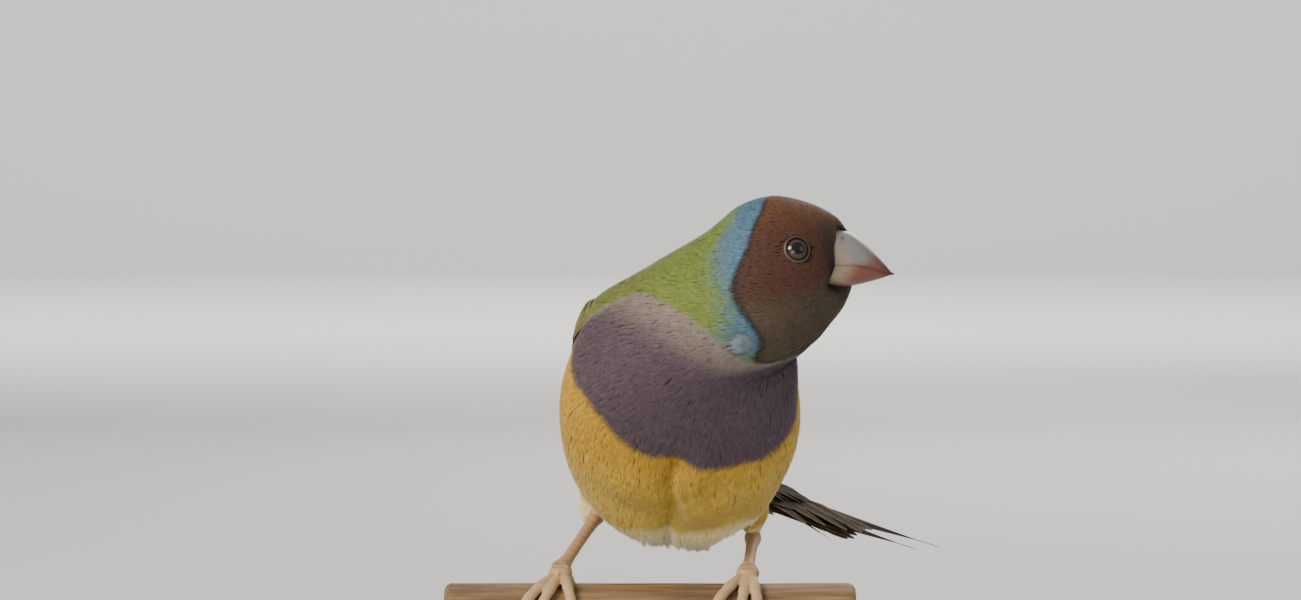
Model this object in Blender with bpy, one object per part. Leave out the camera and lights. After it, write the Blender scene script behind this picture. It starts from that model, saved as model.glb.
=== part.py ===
"""A Gouldian finch cock of the red-headed kind, life size, standing on a short length of perch.

The bird faces -Y with its head turned to +X. Sizes are in millimetres and become metres where
a mesh is made. +Z is up, and the origin is the middle of the stand's underside. The bird's own
points are measured from a level just over the top of the perch, midway along it.
"""

import math

import bmesh
import bpy
from mathutils import Matrix, Vector

MM = 0.001
GAP = 0.3
WELD = 1e-6

# The stand: a flat base, two rods and a cut length of wooden perch
BASE_LENGTH = 84.0
BASE_WIDTH = 58.0
BASE_HEIGHT = 7.0
BASE_CORNER = 8.0
BASE_EDGE = 1.4
ROD_RADIUS = 2.0
ROD_SPREAD = 26.0
ROD_HEIGHT = 11.5
PERCH_RADIUS = 6.0
PERCH_LENGTH = 68.0
PERCH_TOP = -1.5
PERCH_MIDDLE = PERCH_TOP - PERCH_RADIUS
LEVEL = BASE_HEIGHT + ROD_HEIGHT + PERCH_RADIUS - PERCH_MIDDLE

# Cross-sections of the body from the bill's root back to the tail's root. Each row holds the
# point on the bird's upper line, the point on its lower line, the half width, the heading of
# the breast in degrees from -Y towards +X, how far the left side leans down in degrees, and
# how far the widest place drops. The last three rows only guide the wings over the tail
BODY_SECTIONS = (
    ((32.5, -11.0, 57.1), (32.8, -11.0, 47.7), 2.2, 88, 0, 0.00),
    ((29.9, -11.0, 59.7), (32.3, -11.0, 46.4), 4.1, 88, 0, 0.00),
    ((25.2, -11.0, 61.9), (31.3, -11.0, 44.4), 7.7, 88, 0, 0.05),
    ((19.5, -11.0, 62.8), (29.2, -11.5, 41.8), 9.3, 88, 2, 0.05),
    ((14.0, -9.5, 60.8), (26.7, -14.0, 39.2), 10.0, 80, 10, 0.00),
    ((10.9, -4.5, 56.4), (22.5, -18.0, 37.5), 11.6, 50, 22, 0.00),
    ((8.4, -0.5, 52.2), (14.5, -20.5, 35.0), 14.2, 18, 20, 0.00),
    ((6.5, 1.0, 48.6), (7.3, -20.5, 31.0), 17.0, -4, 10, 0.00),
    ((6.7, 3.5, 44.0), (3.3, -15.5, 22.5), 19.5, -12, 2, 0.10),
    ((7.1, 8.0, 38.5), (3.7, -7.0, 12.0), 19.7, -12, 0, 0.12),
    ((7.1, 13.0, 32.0), (3.3, 2.5, 4.8), 17.3, -12, 0, 0.08),
    ((8.6, 18.5, 26.0), (5.2, 11.5, 3.0), 13.4, -12, 0, 0.06),
    ((10.8, 24.0, 20.5), (8.8, 21.0, 5.0), 9.2, -14, 0, 0.05),
    ((12.2, 29.0, 16.8), (11.9, 28.0, 8.6), 4.9, -20, 5, 0.00),
    ((15.4, 36.0, 15.0), (14.3, 35.0, 7.6), 4.8, -28, 20, 0.00),
    ((19.6, 41.8, 13.0), (17.6, 41.4, 6.6), 5.2, -34, 32, 0.00),
    ((24.0, 47.5, 11.4), (22.0, 47.0, 5.4), 5.2, -38, 35, 0.00),
)
TAIL_ROOT = 13.0
HEAD_CUT = ((19.1, -11.7, 49.0), (0.82, -0.13, 0.55))
NECK_CUT = ((10.0, -10.0, 42.6), (0.35, -0.10, 0.93))
RING_SIDES = 28
RINGS_PER_SECTION = 3.4
CREASE_DEPTH = 0.8

# The bill: distance forward, and the height of the culmen, of the mouth and of the gonys, and
# the half width. It runs a little way back inside the head
BILL_MIDDLE = -11.0
BILL_SECTIONS = (
    (29.6, 57.6, 51.2, 47.4, 4.15),
    (31.2, 57.6, 51.2, 47.4, 4.15),
    (32.8, 56.7, 51.3, 47.5, 3.85),
    (34.6, 55.7, 50.9, 47.9, 3.20),
    (36.4, 54.2, 51.0, 48.6, 2.35),
    (38.0, 52.4, 50.6, 49.2, 1.40),
    (39.2, 50.9, 50.0, 49.55, 0.6),
)
BILL_UPPER_TIP = (40.0, 49.6)
BILL_LOWER_TIP = (39.4, 49.7)
NOSTRIL = (32.7, 55.3)
NOSTRIL_RADIUS = 0.4

EYE_PLACE = (23.6, 54.8)
EYE_RADIUS = 2.0
EYE_SINK = 1.25
LID_RADIUS = 2.05
LID_THICKNESS = 0.34

# Folded wing: places along the body, and turns from the back in degrees, of the lower edge and
# of the upper edge
WING_LOWER_EDGE = {
    "left": (
        (7.4, 52), (8.0, 62), (8.8, 69), (9.4, 71), (10.4, 67), (11.6, 61), (13.0, 48), (15.4, 20),
    ),
    "right": (
        (6.9, 72), (7.4, 80), (8.2, 75), (9.4, 71), (10.4, 67), (11.6, 61), (13.0, 48), (15.4, 20),
    ),
}
WING_UPPER_EDGE = (
    (6.9, 60), (7.4, 42), (8.2, 32), (9.2, 25), (10.4, 18), (11.6, 12), (13.0, 8), (15.4, 6),
)
WING_LIFT = 0.45
WING_FRONT = {"left": 7.5, "right": 6.95}

# The tail: a line from its root to its longest point, rolled so that its left edge hangs
TAIL_START = (12.4, 29.4, 12.6)
TAIL_END = (54.0, 75.0, -4.0)
TAIL_ROLL = 35.0

# Legs: the points are knee end, ankle and foot of each leg
LEGS = {
    "right": {
        "thigh": ((-6.5, 10.5, 16.5), (-8.9, 11.4, 13.0), (-9.1, 11.7, 9.9)),
        "thigh_radii": (4.8, 3.6, 1.5),
        "ankle": (-9.0, 11.6, 8.6),
        "foot": (-14.8, 0.0, 0.8),
        "toes": ((-1.0, -7.6, 10.0), (0.6, -3.9, 12.4), (0.9, 2.4, 10.5)),
        "hind_toe": (1.2, 2.6, 8.0),
    },
    "left": {
        "thigh": ((17.0, 13.2, 10.5), (17.3, 13.8, 7.6), (17.4, 14.0, 5.5)),
        "thigh_radii": (3.8, 2.7, 1.35),
        "ankle": (17.4, 13.6, 4.5),
        "foot": (16.2, 0.0, 0.5),
        "toes": ((-0.9, -7.0, 10.0), (0.2, -1.6, 12.4), (1.0, 1.8, 10.5)),
        "hind_toe": (0.2, -2.0, 8.0),
    },
}
TOE_RADIUS = 0.85
CLAW_LENGTH = 3.8

MATERIALS = {
    "red_plumage": (0.098, 0.022, 0.014),
    "green_plumage": (0.190, 0.290, 0.060),
    "purple_plumage": (0.120, 0.085, 0.120),
    "dark_plumage": (0.025, 0.020, 0.018),
    "olive_plumage": (0.110, 0.140, 0.040),
    "cream_plumage": (0.650, 0.560, 0.380),
    "bill": (0.620, 0.460, 0.430),
    "leg": (0.520, 0.330, 0.240),
    "claw": (0.300, 0.200, 0.150),
    "eye": (0.010, 0.008, 0.008),
    "perch_wood": (0.250, 0.160, 0.090),
    "base_wood": (0.090, 0.045, 0.025),
    "rod_brass": (0.560, 0.390, 0.150),
}


def spline(rows, place):
    """The rows' values at a place from 0 to the last row's number, on a smooth curve."""
    last = len(rows) - 1
    step = min(max(int(place), 0), last - 1)
    t = place - step
    before, start, end, after = (rows[min(max(step + k, 0), last)] for k in (-1, 0, 1, 2))
    if step == 0:
        before = start * 2 - end
    if step == last - 1:
        after = end * 2 - start
    slope_in = (end - before) * 0.5
    slope_out = (after - start) * 0.5
    return (
        start * (2 * t**3 - 3 * t**2 + 1)
        + end * (3 * t**2 - 2 * t**3)
        + slope_in * (t**3 - 2 * t**2 + t)
        + slope_out * (t**3 - t**2)
    )


def between(table, place):
    """The value beside a place in a table of places and values, on straight lines."""
    for (a, low), (b, high) in zip(table, table[1:]):
        if place <= b:
            return low + (high - low) * max(0, (place - a) / (b - a))
    return table[-1][1]


UPPER_LINE = [Vector(row[0]) for row in BODY_SECTIONS]
LOWER_LINE = [Vector(row[1]) for row in BODY_SECTIONS]
WIDTH_ROWS = [Vector(row[2:5]) for row in BODY_SECTIONS]
DROP_ROWS = [row[5] for row in BODY_SECTIONS]


def body_section(place):
    """Centre, half vector to the upper line, half vector to the left side, and the drop."""
    upper = spline(UPPER_LINE, place)
    lower = spline(LOWER_LINE, place)
    half_width, heading, lean = spline(WIDTH_ROWS, place)
    heading = math.radians(heading)
    lean = math.radians(lean)
    up = (upper - lower) / 2
    level = math.cos(lean)
    left = Vector((math.cos(heading) * level, math.sin(heading) * level, -math.sin(lean)))
    left -= up * (left.dot(up) / up.length_squared)
    return (upper + lower) / 2, up, left.normalized() * half_width, spline(DROP_ROWS, place)


def on_section(section, turn):
    centre, up, left, drop = section
    turn = math.radians(turn)
    return centre + up * math.cos(turn) + left * math.sin(turn) * (1 - drop * math.cos(turn))


def body_point(place, turn, lift=0.0):
    """A point on the body or above it: turn is 0 on the back, 90 on the left, 180 on the belly."""
    section = body_section(place)
    point = on_section(section, turn)
    if lift:
        along = on_section(body_section(place + 0.05), turn)
        along -= on_section(body_section(place - 0.05), turn)
        around = on_section(section, turn + 2) - on_section(section, turn - 2)
        point = point + around.cross(along).normalized() * lift
    return point


def body_normal(place, turn):
    return (body_point(place, turn, 1.0) - body_point(place, turn)).normalized()


def stand_place(point):
    """A point of the bird's, in metres from the stand's underside."""
    return Vector((point[0], point[1], point[2] + LEVEL)) * MM


def mesh_object(name, mesh):
    bmesh.ops.recalc_face_normals(mesh, faces=mesh.faces)
    data = bpy.data.meshes.new(name)
    mesh.to_mesh(data)
    mesh.free()
    made = bpy.data.objects.new(name, data)
    bpy.context.scene.collection.objects.link(made)
    return made


def loft(name, rings, closed_tip=None):
    """A solid through rings of points. Its ends are capped, or the last one runs to a tip."""
    mesh = bmesh.new()
    loops = [[mesh.verts.new(stand_place(point)) for point in ring] for ring in rings]
    for a, b in zip(loops, loops[1:]):
        for k in range(len(a)):
            after = (k + 1) % len(a)
            mesh.faces.new((a[k], b[k], b[after], a[after]))
    mesh.faces.new(loops[0])
    if closed_tip is None:
        mesh.faces.new(list(reversed(loops[-1])))
    else:
        tip = mesh.verts.new(stand_place(closed_tip))
        for k in range(len(loops[-1])):
            mesh.faces.new((loops[-1][k], tip, loops[-1][(k + 1) % len(loops[-1])]))
    return mesh_object(name, mesh)


def tube(name, points, radii, sides=10, tip=None):
    """A round rod along points, with a radius at each. It may end in a point."""
    points = [Vector(point) for point in points]
    ends = points + ([Vector(tip)] if tip is not None else [])
    across = None
    rings = []
    for k, point in enumerate(points):
        ahead = (ends[min(k + 1, len(ends) - 1)] - ends[max(k - 1, 0)]).normalized()
        if across is None:
            across = ahead.orthogonal()
        across = (across - ahead * across.dot(ahead)).normalized()
        other = ahead.cross(across)
        rings.append([
            point
            + across * radii[k] * math.cos(2 * math.pi * side / sides)
            + other * radii[k] * math.sin(2 * math.pi * side / sides)
            for side in range(sides)
        ])
    return loft(name, rings, tip)


def vane(name, points, normals, half_widths, thickness, hang=0.0):
    """One feather: a thin blade along points, ridged above and below, which ends in a point.

    The last point is the tip. Each edge hangs a little towards the body.
    """
    rings = []
    for k in range(len(points) - 1):
        ahead = (points[k + 1] - points[max(k - 1, 0)]).normalized()
        up = (normals[k] - ahead * normals[k].dot(ahead)).normalized()
        side = ahead.cross(up)
        drop = up * (half_widths[k] * hang)
        rings.append([
            points[k] + side * half_widths[k] - drop,
            points[k] + up * thickness / 2,
            points[k] - side * half_widths[k] - drop,
            points[k] - up * thickness / 2,
        ])
    return loft(name, rings, points[-1])


def apply_modifiers(made):
    graph = bpy.context.evaluated_depsgraph_get()
    fresh = bpy.data.meshes.new_from_object(made.evaluated_get(graph))
    made.modifiers.clear()
    made.data = fresh


def cut_away(made, cutters):
    """Takes the cutters out of an object, then removes them."""
    for cutter in cutters:
        cut = made.modifiers.new("cut", "BOOLEAN")
        cut.operation = "DIFFERENCE"
        cut.solver = "EXACT"
        cut.object = cutter
    apply_modifiers(made)
    for cutter in cutters:
        bpy.data.objects.remove(cutter)


def fuse(made, others):
    """Joins other solids to an object as one closed body, and keeps its largest piece."""
    group = bpy.data.collections.new("feathers")
    for other in others:
        group.objects.link(other)
    join = made.modifiers.new("join", "BOOLEAN")
    join.operation = "UNION"
    join.solver = "EXACT"
    join.operand_type = "COLLECTION"
    join.collection = group
    apply_modifiers(made)
    for other in others:
        bpy.data.objects.remove(other)
    bpy.data.collections.remove(group)
    keep_largest(made)


def keep_largest(made):
    mesh = bmesh.new()
    mesh.from_mesh(made.data)
    bmesh.ops.remove_doubles(mesh, verts=mesh.verts, dist=WELD)
    unseen = set(mesh.verts)
    pieces = []
    while unseen:
        stack = [unseen.pop()]
        piece = list(stack)
        while stack:
            for edge in stack.pop().link_edges:
                for end in edge.verts:
                    if end in unseen:
                        unseen.discard(end)
                        stack.append(end)
                        piece.append(end)
        pieces.append(piece)
    pieces.sort(key=len)
    for piece in pieces[:-1]:
        bmesh.ops.delete(mesh, geom=piece, context="VERTS")
    bmesh.ops.triangulate(mesh, faces=mesh.faces)
    mesh.to_mesh(made.data)
    mesh.free()


def slice_off(made, plane, keep_ahead, shift):
    """Cuts an object along a plane across the bird, and closes the cut with a flat face."""
    centre, ahead = Vector(plane[0]), Vector(plane[1]).normalized()
    mesh = bmesh.new()
    mesh.from_mesh(made.data)
    cut = bmesh.ops.bisect_plane(
        mesh,
        geom=mesh.verts[:] + mesh.edges[:] + mesh.faces[:],
        plane_co=stand_place(centre + ahead * shift),
        plane_no=ahead,
        clear_inner=keep_ahead,
        clear_outer=not keep_ahead,
    )
    rim = [part for part in cut["geom_cut"] if isinstance(part, bmesh.types.BMEdge)]
    bmesh.ops.edgeloop_fill(mesh, edges=rim)
    bmesh.ops.triangulate(mesh, faces=mesh.faces)
    bmesh.ops.recalc_face_normals(mesh, faces=mesh.faces)
    mesh.to_mesh(made.data)
    mesh.free()


def body_loft(name, lift=0.0):
    count = round(TAIL_ROOT * RINGS_PER_SECTION)
    rings = []
    for k in range(count + 1):
        place = TAIL_ROOT * k / count
        ring = []
        for side in range(RING_SIDES):
            turn = 360 * side / RING_SIDES
            sink = CREASE_DEPTH * math.exp(-(((turn - 180) / 8) ** 2) - ((place - 10.0) / 1.2) ** 2)
            ring.append(body_point(place, turn, lift - sink if lift or sink > 0.01 else 0.0))
        rings.append(ring)
    return loft(name, rings)


def ball(name, centre, radius, segments=20, rings=12, axis="Z"):
    mesh = bmesh.new()
    place = Matrix.Translation(stand_place(centre))
    if axis == "Y":
        place = place @ Matrix.Rotation(math.radians(90), 4, "X")
    bmesh.ops.create_uvsphere(
        mesh, u_segments=segments, v_segments=rings, radius=radius * MM, matrix=place
    )
    return mesh_object(name, mesh)


# Start from an empty scene
for old in list(bpy.data.objects):
    bpy.data.objects.remove(old)

# Torso, neck and head, cut from one smooth body
torso = body_loft("torso")
slice_off(torso, NECK_CUT, keep_ahead=False, shift=-GAP / 2)
neck = body_loft("neck")
slice_off(neck, NECK_CUT, keep_ahead=True, shift=GAP / 2)
slice_off(neck, HEAD_CUT, keep_ahead=False, shift=-GAP / 2)
keep_largest(neck)
head = body_loft("head")
slice_off(head, HEAD_CUT, keep_ahead=True, shift=GAP / 2)

# Bill: the upper half over the mouth line, and the lower half under it


def bill_half(name, upper_half):
    """The half of the bill over the mouth line, or the half under it."""
    rings = []
    gap = GAP / 2 if upper_half else -GAP / 2
    for ahead, culmen, mouth, gonys, half_width in BILL_SECTIONS:
        floor = mouth + gap
        rise = (culmen if upper_half else gonys) - floor
        ring = []
        for k in range(16):
            turn = math.pi * k / 8
            height = floor + rise * max(0.0, math.sin(turn)) ** 0.85
            ring.append((ahead, BILL_MIDDLE + half_width * math.cos(turn), height))
        rings.append(ring)
    tip = BILL_UPPER_TIP if upper_half else BILL_LOWER_TIP
    return loft(name, rings, (tip[0], BILL_MIDDLE, tip[1] + gap))


def bill_room():
    """The bill's root made larger by the gap, to take out of the head."""
    rings = []
    for ahead, culmen, mouth, gonys, half_width in BILL_SECTIONS[:4]:
        ring = []
        for k in range(16):
            turn = math.pi * k / 8
            rise = culmen + GAP - mouth if k < 8 else mouth - gonys + GAP
            height = mouth + rise * math.copysign(abs(math.sin(turn)) ** 0.85, math.sin(turn))
            ring.append((ahead, BILL_MIDDLE + (half_width + GAP) * math.cos(turn), height))
        rings.append(ring)
    return loft("bill_room", rings)


bill_upper = bill_half("bill_upper", True)
bill_lower = bill_half("bill_lower", False)
nostrils = []
for side in (1, -1):
    place = (NOSTRIL[0], BILL_MIDDLE + side * 2.55, NOSTRIL[1])
    nostrils.append(ball("nostril", place, NOSTRIL_RADIUS, 8, 6))
cut_away(bill_upper, nostrils)

# Eyes in pockets of the head, each inside a raised ring of lid


def head_side(side):
    """The point of the head's surface beside the eye, and the way out of it."""
    best = min(
        ((k / 20, side * turn) for k in range(20, 80) for turn in range(50, 120, 2)),
        key=lambda spot: (Vector(body_point(*spot)).xz - Vector(EYE_PLACE)).length,
    )
    return body_point(*best), body_normal(*best)


eyes = []
lids = []
pockets = []
for side, word in ((1, "left"), (-1, "right")):
    surface, outward = head_side(side)
    centre = surface - outward * EYE_SINK
    eyes.append(ball("eye_" + word, centre, EYE_RADIUS, 18, 12, axis="Y"))
    pockets.append(ball("pocket", centre, EYE_RADIUS + GAP * 0.9, 18, 12, axis="Y"))
    across = outward.orthogonal().normalized()
    other = outward.cross(across)
    rings = []
    for k in range(20):
        turn = 2 * math.pi * k / 20
        spoke = across * math.cos(turn) + other * math.sin(turn)
        rings.append([
            surface
            + spoke * (LID_RADIUS + LID_THICKNESS * math.cos(2 * math.pi * j / 6))
            + outward * (LID_THICKNESS * math.sin(2 * math.pi * j / 6) - 0.05)
            for j in range(6)
        ])
    mesh = bmesh.new()
    loops = [[mesh.verts.new(stand_place(point)) for point in ring] for ring in rings]
    for a, b in zip(loops, loops[1:] + loops[:1]):
        for k in range(6):
            mesh.faces.new((a[k], b[k], b[(k + 1) % 6], a[(k + 1) % 6]))
    lids.append(mesh_object("lid", mesh))
fuse(head, lids)
cut_away(head, pockets + [bill_room()])
keep_largest(head)

# Wings, each a lens of flesh and coverts with tiers of feathers over it


def wing_turn(side, place, across):
    """The turn at a place, from 0 on the wing's lower edge to 1 on its upper edge."""
    low = between(WING_LOWER_EDGE["left" if side > 0 else "right"], place)
    return side * (low + (between(WING_UPPER_EDGE, place) - low) * across)


def wing_feather(side, start, end, lifts, half_width, steps, thickness=0.55, hang=0.1):
    """A feather along the folded wing, from and to a place and a share of the wing's width."""
    points, normals, widths = [], [], []
    root = max(start[0], WING_FRONT["left" if side > 0 else "right"] + 0.2)
    for k in range(steps + 1):
        t = k / steps
        place = root + (end[0] - root) * t
        turn = wing_turn(side, place, start[1] + (end[1] - start[1]) * t)
        lift = lifts[0] + (lifts[1] - lifts[0]) * t
        points.append(body_point(place, turn, WING_LIFT + lift))
        normals.append(body_normal(place, turn))
        width = (0.55 + 0.45 * min(1, t * 3)) * (1 - t**3 * 0.75) if k else 0.5
        widths.append(half_width * width)
    return vane("vane", points, normals, widths, thickness, hang)


def wing(word, side):
    core_mesh = bmesh.new()
    columns, rows = 12, 6
    first, last = WING_FRONT[word], 12.3
    upper, under = {}, {}
    for i in range(columns + 1):
        for j in range(rows + 1):
            place = first + (last - first) * i / columns
            turn = wing_turn(side, place, 0.06 + 0.88 * j / rows)
            rim = i in (0, columns) or j in (0, rows)
            dome = math.sin(math.pi * j / rows) * math.sin(math.pi * min(1, (i + 0.6) / 5) / 2)
            lift = WING_LIFT + 0.35 + (0 if rim else 1.1 * dome * (1 - 0.55 * i / columns))
            upper[i, j] = core_mesh.verts.new(stand_place(body_point(place, turn, lift)))
            if rim:
                under[i, j] = core_mesh.verts.new(stand_place(body_point(place, turn, WING_LIFT + 0.02)))
            else:
                under[i, j] = core_mesh.verts.new(stand_place(body_point(place, turn, WING_LIFT)))
    for i in range(columns):
        for j in range(rows):
            a, b, c, d = (i, j), (i + 1, j), (i + 1, j + 1), (i, j + 1)
            core_mesh.faces.new((upper[a], upper[b], upper[c]))
            core_mesh.faces.new((upper[a], upper[c], upper[d]))
            core_mesh.faces.new((under[c], under[b], under[a]))
            core_mesh.faces.new((under[d], under[c], under[a]))
    rim = [(i, 0) for i in range(columns)] + [(columns, j) for j in range(rows)]
    rim += [(i, rows) for i in range(columns, 0, -1)] + [(0, j) for j in range(rows, 0, -1)]
    for a, b in zip(rim, rim[1:] + rim[:1]):
        core_mesh.faces.new((upper[b], upper[a], under[a]))
        core_mesh.faces.new((upper[b], under[a], under[b]))
    core = mesh_object("wing_" + word, core_mesh)

    feathers = []
    for k in range(6):
        tip = (15.35 - 0.28 * k, 0.10 + 0.11 * k)
        feathers.append(wing_feather(side, (9.6, 0.08 + 0.05 * k), tip, (0.35 + 0.05 * k, 0.5), 1.75, 7))
    for k in range(5):
        tip = (13.3 - 0.12 * k, 0.34 + 0.13 * k)
        feathers.append(wing_feather(side, (9.3, 0.22 + 0.12 * k), tip, (0.75, 0.95 + 0.04 * k), 1.9, 5))
    for k in range(3):
        tip = (13.0 - 0.55 * k, 0.80 + 0.07 * k)
        feathers.append(wing_feather(side, (9.0, 0.62 + 0.12 * k), tip, (1.0, 1.25 + 0.08 * k), 2.3, 5))
    for k in range(4):
        tip = (9.9 + 0.25 * k, 0.10 + 0.04 * k)
        feathers.append(wing_feather(side, (7.7, 0.10 + 0.03 * k), tip, (0.8, 1.0), 1.5, 4))
    for k in range(6):
        tip = (10.2 - 0.06 * k, 0.22 + 0.145 * k)
        feathers.append(wing_feather(side, (8.3, 0.16 + 0.135 * k), tip, (1.1, 1.35), 1.9, 4))
    for k in range(5):
        tip = (9.15 - 0.04 * k, 0.18 + 0.17 * k)
        feathers.append(wing_feather(side, (7.6, 0.16 + 0.16 * k), tip, (1.2, 1.65), 2.0, 3))
    for k in range(4):
        tip = (8.3 - 0.03 * k, 0.20 + 0.2 * k)
        feathers.append(wing_feather(side, (7.15, 0.20 + 0.18 * k), tip, (1.0, 1.95), 2.1, 3))
    fuse(core, feathers)
    return core


wing("left", 1)
wing("right", -1)

# Tail: graduated feathers in pairs under the two long middle ones, with coverts over the root
tail_start, tail_end = Vector(TAIL_START), Vector(TAIL_END)
tail_ahead = (tail_end - tail_start).normalized()
tail_side = tail_ahead.cross(Vector((0, 0, 1))).normalized()
tail_side = Matrix.Rotation(math.radians(TAIL_ROLL), 3, tail_ahead) @ tail_side
tail_up = tail_side.cross(tail_ahead)


def tail_place(along, across, height):
    return tail_start + tail_ahead * along + tail_side * across + tail_up * height


def tail_feather(start, end, half_width, steps, thickness=0.5, long=False, sag=-0.4):
    """A tail feather between two tail places. A long one narrows to a thin point."""
    points, widths = [], []
    for k in range(steps + 1):
        t = k / steps
        spot = [a + (b - a) * t for a, b in zip(start, end)]
        spot[2] -= sag * math.sin(math.pi * t)
        points.append(tail_place(*spot))
        width = 0.6 + 0.4 * min(1, t * 3) - 0.45 * t**6
        if long:
            width = 0.7 + 0.3 * min(1, t * 3) if t < 0.55 else max(0.09, 1 - (t - 0.55) * 2.6)
        widths.append(half_width * width)
    return vane("vane", points, [tail_up] * len(points), widths, thickness, 0.1)


root_centre, root_up, root_left, _ = body_section(TAIL_ROOT)
root_back = root_up.cross(root_left).normalized()
core_rings = []
for along, shrink in ((GAP, 0.99), (1.6, 0.93)):
    ring = []
    for k in range(12):
        out = on_section(body_section(TAIL_ROOT), 30 * k) - root_centre
        ring.append(root_centre + out * shrink + root_back * along)
    core_rings.append(ring)
for along, half_width, half_height in ((5, 3.7, 2.7), (9, 3.2, 1.9), (14, 2.6, 1.3), (20, 2.0, 0.8)):
    ring = []
    for k in range(12):
        turn = math.radians(30 * k)
        place = (along, half_width * math.sin(turn), half_height * math.cos(turn) - 0.2)
        ring.append(tail_place(*place))
    core_rings.append(ring)
tail = loft("tail", core_rings)
feathers = []
for side in (1, -1):
    for k, length in enumerate((31, 36, 39, 41, 43)):
        start = (3.4 + 0.23 * k + 0.11 * side, side * (2.0 - 0.4 * k), -0.9 + 0.28 * k)
        end = (length, side * (4.9 - 0.85 * k), -1.0 + 0.28 * k)
        feathers.append(tail_feather(start, end, 1.7, 6))
for side, length in ((1, 58.0), (-1, 64.0)):
    start, end = (5.0 + 0.2 * side, side * 0.5, 0.75), (length, side * 0.75, 0.55)
    feathers.append(tail_feather(start, end, 1.9, 10, long=True, sag=0.45))
for across, length in ((2.4, 13), (-3.0, 24), (1.2, 17), (-1.9, 27), (0.1, 22), (-0.9, 25)):
    start, end = (4.3 + 0.27 * across, across * 0.6, 1.6), (length, across * 1.15, 1.75)
    feathers.append(tail_feather(start, end, 1.7, 4, 0.6, sag=-0.7))
for across, length in ((-2.4, 14), (2.4, 14), (-1.1, 18), (1.1, 18), (0, 21)):
    start, end = (3.9 + 0.29 * across, across * 0.6, -1.7), (length, across * 1.1, -2.0)
    feathers.append(tail_feather(start, end, 1.8, 4, 0.7))
fuse(tail, feathers)

# Legs: a feathered thigh, a bare leg from the ankle, and a foot of four toes round the perch


def bend(points, count):
    """Points along a smooth curve through a few given ones."""
    rows = [Vector(point) for point in points]
    return [spline(rows, (len(rows) - 1) * k / (count - 1)) for k in range(count)]


def toe_point(foot_x, start, end, arc, forward):
    """A point on a toe: arc is how far it has gone round the perch, in millimetres."""
    reach = PERCH_RADIUS + GAP + TOE_RADIUS
    turn = arc / reach
    share = min(1.3, arc / 10.0)
    return Vector((
        foot_x + start + (end - start) * share,
        -forward * reach * math.sin(turn),
        PERCH_MIDDLE + reach * math.cos(turn),
    ))


for word, leg in LEGS.items():
    radii = [spline(leg["thigh_radii"], 2 * k / 5) for k in range(6)]
    thigh = tube("thigh_" + word, bend(leg["thigh"], 6), radii, 14)
    cut_away(thigh, [body_loft("keep_out", GAP)])
    keep_largest(thigh)
    thigh_end = Vector(leg["thigh"][-1])
    ankle = Vector(leg["ankle"])
    foot = Vector(leg["foot"])
    down = (ankle - thigh_end).normalized()
    shin = foot - ankle
    stops = [thigh_end + down * GAP, ankle]
    stops += [ankle + shin * share for share in (0.12, 0.5, 0.85)]
    radii = [1.05, 1.1, 1.2, 1.25, 1.1, 0.95, 0.85, 0.82, 0.82, 0.88, 1.0]
    tube("leg_" + word, bend(stops, 11), radii, 10)
    pad = ball("foot_" + word, (foot.x, 0.2, PERCH_TOP + GAP + 1.35), 1.45, 14, 10)
    sole = Vector((foot.x, 0.0, PERCH_TOP + 1.5))
    instep = [ankle + shin * 0.9, ankle + shin * 0.97, sole]
    toes = [tube("instep", instep, [0.95, 1.35, 1.1], 10)]
    runs = [(start, end, length, 1) for start, end, length in leg["toes"]]
    runs.append(leg["hind_toe"] + (-1,))
    for k, (start, end, length, forward) in enumerate(runs):
        stops = [length * j / 7 for j in range(8)]
        points = [toe_point(foot.x, start * 0.5, end, stop, forward) for stop in stops]
        radii = [TOE_RADIUS * swell for swell in (1.05, 1.0, 0.9, 1.0, 0.88, 0.96, 0.84, 0.7)]
        toes.append(tube("toe", points, radii, 8))
        hook = []
        for j, lift in enumerate((0.0, -0.08, -0.2, -0.1, 0.3)):
            arc = length + GAP + CLAW_LENGTH * j / 4
            point = toe_point(foot.x, start * 0.5, end, arc, forward)
            out = Vector((0, point.y, point.z - PERCH_MIDDLE)).normalized()
            hook.append(point + out * lift)
        claw = "claw_" + word + "_" + "abcd"[k]
        tube(claw, hook[:4], [0.5, 0.44, 0.34, 0.2], 8, hook[4])
    fuse(pad, toes)

# Perch, rods and base


def cylinder(name, start, end, radius, sides, edge=0.0):
    """A round bar from one point to another, with its rims taken off by the edge."""
    start, end = Vector(start), Vector(end)
    length = (end - start).length
    ahead = (end - start) / length
    stops = ((0, radius), (length, radius))
    if edge:
        stops = ((0, radius - edge), (edge, radius), (length - edge, radius), (length, radius - edge))
    points = [start + ahead * stop for stop, _ in stops]
    return tube(name, points, [size for _, size in stops], sides)


perch_end = (PERCH_LENGTH / 2, 0, PERCH_MIDDLE)
cylinder("stand_perch", (-PERCH_LENGTH / 2, 0, PERCH_MIDDLE), perch_end, PERCH_RADIUS, 36, 0.5)
for word, side in (("right", -1), ("left", 1)):
    foot = (side * ROD_SPREAD, 0, BASE_HEIGHT + GAP - LEVEL)
    top = (side * ROD_SPREAD, 0, PERCH_MIDDLE - 2)
    rod = cylinder("stand_rod_" + word, foot, top, ROD_RADIUS, 20)
    room_start, room_end = (-40, 0, PERCH_MIDDLE), (40, 0, PERCH_MIDDLE)
    cut_away(rod, [cylinder("perch_room", room_start, room_end, PERCH_RADIUS + GAP, 36)])

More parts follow.
